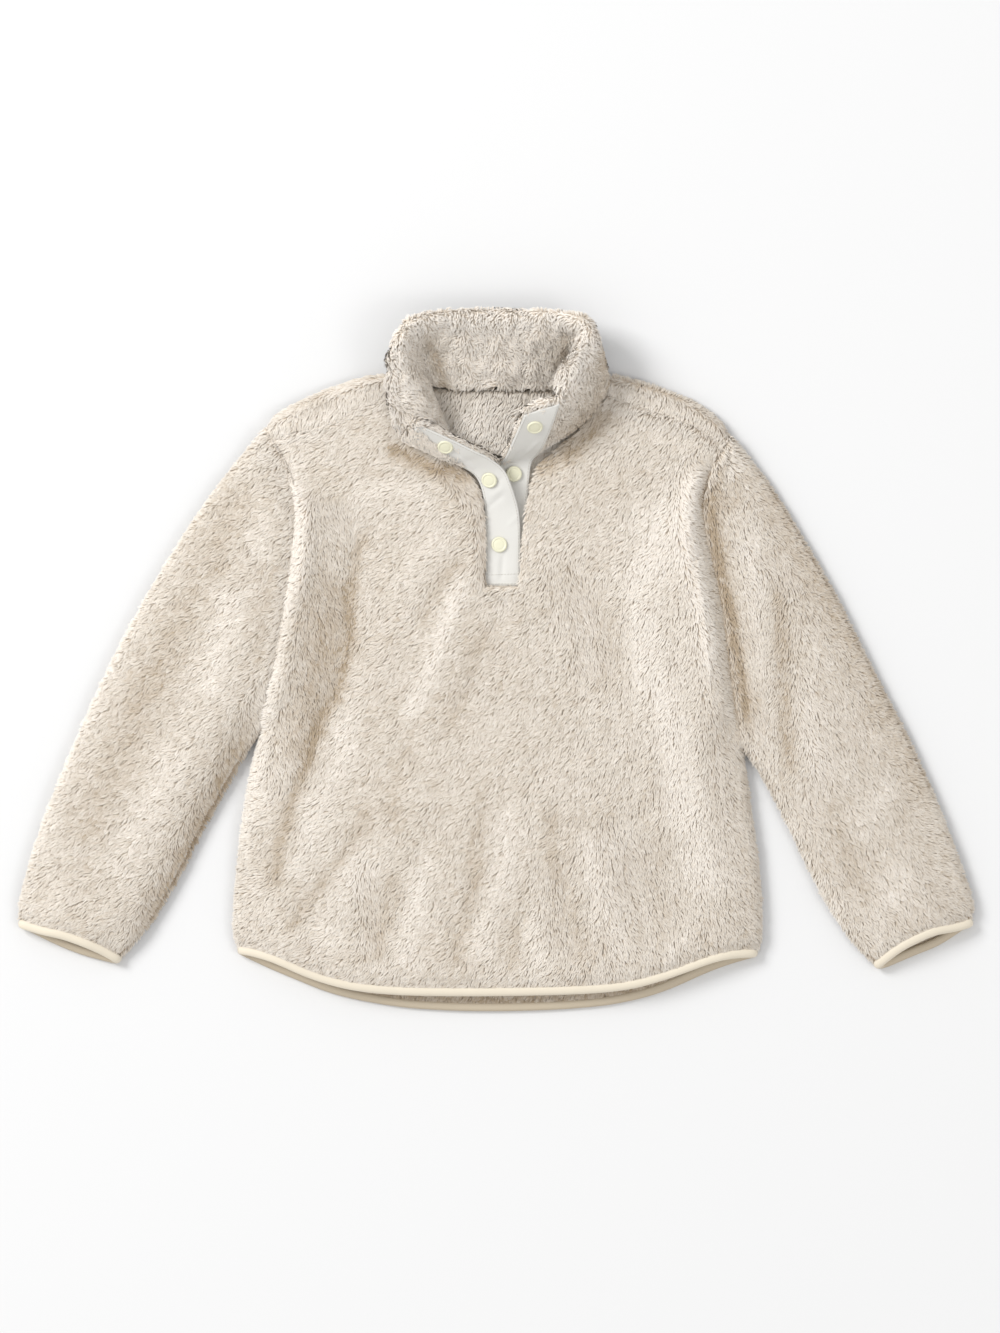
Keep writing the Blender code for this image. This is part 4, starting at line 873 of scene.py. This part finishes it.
def stitched(lines):
    # short raised stitches along each line: a line is its points and its normals
    corners, faces = [], []
    for line, out in lines:
        reach = np.concatenate([[0.0], np.cumsum(np.linalg.norm(np.diff(line, axis=0), axis=1))])
        for start in np.arange(thread["step"] * 0.3, reach[-1] - thread["long"], thread["step"]):
            ends = [np.array([np.interp(at, reach, column) for column in line.T])
                    for at in (start, start + thread["long"])]
            up = unit(np.array([np.interp(start, reach, column) for column in out.T]))
            side = unit(np.cross(up, ends[1] - ends[0])) * thread["half"]
            first = len(corners)
            for end, inward in zip(ends, (1, -1)):
                slip = (ends[1] - ends[0]) * thread["slope"] * inward
                top = end + slip + up * thread["rise"]
                corners += [end - side, end + side, top + side * 0.5, top - side * 0.5]
            for k in range(4):
                t = (k + 1) % 4
                faces.append((first + k, first + t, first + 4 + t, first + 4 + k))
            faces.append((first + 3, first + 2, first + 1, first))
            faces.append((first + 4, first + 5, first + 6, first + 7))
    return corners, faces


threadStuff = tapeMaterial("sewingThread", thread)


def stripLines(grid, out):
    # down both edges, and a rectangle at the foot
    inset = tape["seam"] * (tape["across"] - 1)
    surface = grid + out * (tape["thick"] / 2)
    lines = []
    for a, b in ((0, 1), (-1, -2)):
        lines.append((surface[:, a] * (1 - inset) + surface[:, b] * inset, out[:, a]))
    for row in tape["footRows"]:
        lines.append((surface[row, 1:-1], out[row, 1:-1]))
    return lines


def buildStrip(name, node, grid):
    normals = gridNormals(grid)
    out = normals * tape["thick"] / 2
    made = newObject(name, shellOf(name, grid + out, grid - out), tapeStuff)
    sewing = newObject(name + "_sewing", meshOf(name + "_sewing", *stitched(stripLines(grid, normals))),
                       threadStuff)
    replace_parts(sewing, node)
    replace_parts(made, node)


overGrid = wrinkled(stripGrid(overFar, overFront, (tape["ribs"], 0)), overWrinkles)
lastRib = len(collarRibs) - 1
underGrid = wrinkled(stripGrid(underLeft, underRight, (lastRib, lastRib - tape["ribs"])), underWrinkles)
buildStrip("placket_over_tape", "placket_over", overGrid)
buildStrip("placket_under_tape", "placket_under", underGrid)


fringe = {
    "locks": 2400, "start": 0.66, "narrow": 0.12, "wider": 0.55, "from": 0.68, "over": 0.3, "ragged": 0.05,
    "lift": 1.2, "tint": 0.72,
}


def coverEnd():
    # the collar's pile falls over the lower corner of the over-strip's far end
    rng = np.random.default_rng(61)
    normals = gridNormals(overGrid)
    rows, columns = overGrid.shape[:2]
    along = rng.uniform(fringe["start"], 1.0, fringe["locks"])
    across = rng.uniform(0, 1, fringe["locks"])
    edge = fringe["narrow"] + fringe["wider"] * smooth((along - fringe["from"]) / fringe["over"])
    kept = across < edge + rng.normal(0, fringe["ragged"], fringe["locks"])
    row = (along[kept] * (rows - 1)).astype(int)
    column = across[kept] * (columns - 1)
    low = np.minimum(column.astype(int), columns - 2)
    part = (column - low)[:, None]
    places = overGrid[row, low] * (1 - part) + overGrid[row, low + 1] * part
    places = places + normals[row, low] * fringe["lift"]
    roots = Roots(places, normals[row, low], None)
    flow = np.tile([-0.25, 1.0, 0.1], (len(places), 1))
    tint = np.full(len(places), fringe["tint"])
    return growPile("collar_fringe", roots, flow, tint, pileStuff, 63, length=6.0, stray=0.5, crest=1.0)


collarFringe = coverEnd()
print("placket made")

# Snaps

snap = {
    "colour": (0.76, 0.74, 0.56), "rough": 0.35, "turns": 48, "sunk": 1.05,
    "profile": [(0, 1.75), (3.0, 1.72), (5.0, 1.62), (5.4, 1.4), (5.8, 1.4), (6.2, 1.85), (6.8, 2.0),
                (7.5, 1.8), (8.0, 1.2), (8.2, 0.6), (8.1, 0.2), (7.6, 0.0), (0, 0)],
}
snaps = {
    "snap_cap_1": overGrid, "snap_cap_2": overGrid, "snap_cap_3": overGrid,
    "snap_stud_1": underGrid, "snap_stud_2": underGrid,
}


def snapMaterial():
    made, shade, surface = newMaterial("snapPlastic", snap)
    place = shade.node("ShaderNodeTexCoord", None, out=3)
    specks = shade.node("ShaderNodeTexNoise", None, {"Vector": place, "Scale": 400.0, "Detail": 3.0})
    pale = tuple(min(1, value * 1.05) for value in snap["colour"])
    feed(shade, surface, "Base Color", specks.mix(snap["colour"], pale))
    return made


snapStuff = snapMaterial()


def buildSnap(name, grid):
    # the profile turned round, set in the node's box and square to its strip
    lines = bpy.data.meshes.new(name)
    profile = snap["profile"]
    lines.from_pydata([(r * metre, 0, h * metre) for r, h in profile],
                      [(k, k + 1) for k in range(len(profile) - 1)], [])
    holder = bpy.data.objects.new(name + "_line", lines)
    bpy.context.scene.collection.objects.link(holder)
    turn = holder.modifiers.new("turned", "SCREW")
    turn.steps = turn.render_steps = snap["turns"]
    turn.use_merge_vertices = True
    turn.merge_threshold = 1e-5
    mesh = applied(holder)
    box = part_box(name)
    centre = (Vector(box[0]) + Vector(box[1])) / 2
    normals = gridNormals(grid)
    gap = np.linalg.norm(grid * metre - np.array(centre), axis=-1)
    row, column = np.unravel_index(gap.argmin(), gap.shape)
    out = Vector(normals[row, column])
    turned = out.to_track_quat("Z", "Y").to_matrix().to_4x4()
    turned.translation = centre - out * snap["sunk"] * metre
    mesh.transform(turned)
    mesh.shade_smooth()
    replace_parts(newObject(name + "_turned", mesh, snapStuff), name)


for snapName, stripOf in snaps.items():
    buildSnap(snapName, stripOf)

# Bindings

binding = {
    "colour": (0.78, 0.70, 0.565), "rough": 0.6, "sheen": 0.2, "fuller": 0.8,
    # low: painted shadow of the front's hem on the lower part of the bindings
    "low": {"colour": (0.50, 0.41, 0.29), "from": 4.0, "to": 11.0},
}
bindingStuff = tapeMaterial("bindingKnit", binding, binding["low"])
bindings = {}
for node in ("binding_hem", "binding_cuff_left", "binding_cuff_right"):
    mesh = softened(node, sharp=pi)
    rolled = surfaceOf(mesh)
    points = rolled.points + rolled.normals * binding["fuller"]
    points[:, 2] = np.maximum(points[:, 2], 0)
    setPoints(mesh, points)
    bindings[node] = newObject(node + "_rolled", mesh, bindingStuff)
    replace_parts(bindings[node], node)
print("bindings and snaps made")

# Sleeves: a number and the cuff binding of each, looked up but not used

for sideName, (cloth, pile, flat) in sleeves.items():
    0.15 if sideName == "left" else 0.135
    bindings["binding_cuff_" + sideName]

# Floor, light and camera

studio = {
    "floor": (0.775, 0.775, 0.775), "floorHalf": 30.0, "world": 0.72, "keyWatts": 330.0, "keySize": 2.6,
    "keyPlace": (-4.4, 2.8, 4.4), "fillWatts": 40.0, "fillSize": 2.0, "fillPlace": (3.4, -1.6, 4.2),
    "centre": (4.16, -7.8), "perPixel": 1.04, "imageHeight": 1333, "distance": 9.0, "sensor": 36.0,
}


def buildStudio():
    mesh = bpy.data.meshes.new("floor")
    s = studio["floorHalf"]
    mesh.from_pydata([(-s, -s, 0), (s, -s, 0), (s, s, 0), (-s, s, 0)], [], [(0, 1, 2, 3)])
    floor = bpy.data.objects.new("floor", mesh)
    bpy.context.scene.collection.objects.link(floor)
    made, _, surface = newMaterial("floorPaper", {"colour": studio["floor"], "rough": 0.9})
    mesh.materials.append(made)
    world = bpy.data.worlds.new("softRoom")
    bpy.context.scene.world = world
    world.use_nodes = True
    background = world.node_tree.nodes["Background"]
    background.inputs["Color"].default_value = (1.0, 1.0, 1.0, 1)
    background.inputs["Strength"].default_value = studio["world"]
    for name in ("key", "fill"):
        light = bpy.data.lights.new(name, "AREA")
        light.energy = studio[name + "Watts"]
        light.size = studio[name + "Size"]
        lamp = bpy.data.objects.new(name, light)
        bpy.context.scene.collection.objects.link(lamp)
        place = studio[name + "Place"]
        lamp.location = place
        lamp.rotation_euler = (-Vector(place)).to_track_quat("-Z", "Y").to_euler()


def buildCamera():
    eye = bpy.data.cameras.new("eye")
    camera = bpy.data.objects.new("eye", eye)
    bpy.context.scene.collection.objects.link(camera)
    x, y = studio["centre"]
    camera.location = (x * metre, y * metre, studio["distance"])
    seen = studio["perPixel"] * studio["imageHeight"] * metre
    eye.sensor_width = studio["sensor"]
    eye.lens = studio["sensor"] * studio["distance"] / seen
    eye.clip_end = 50
    bpy.context.scene.camera = camera


buildStudio()
buildCamera()
bpy.context.scene.view_settings.view_transform = "Standard"
print("studio made")
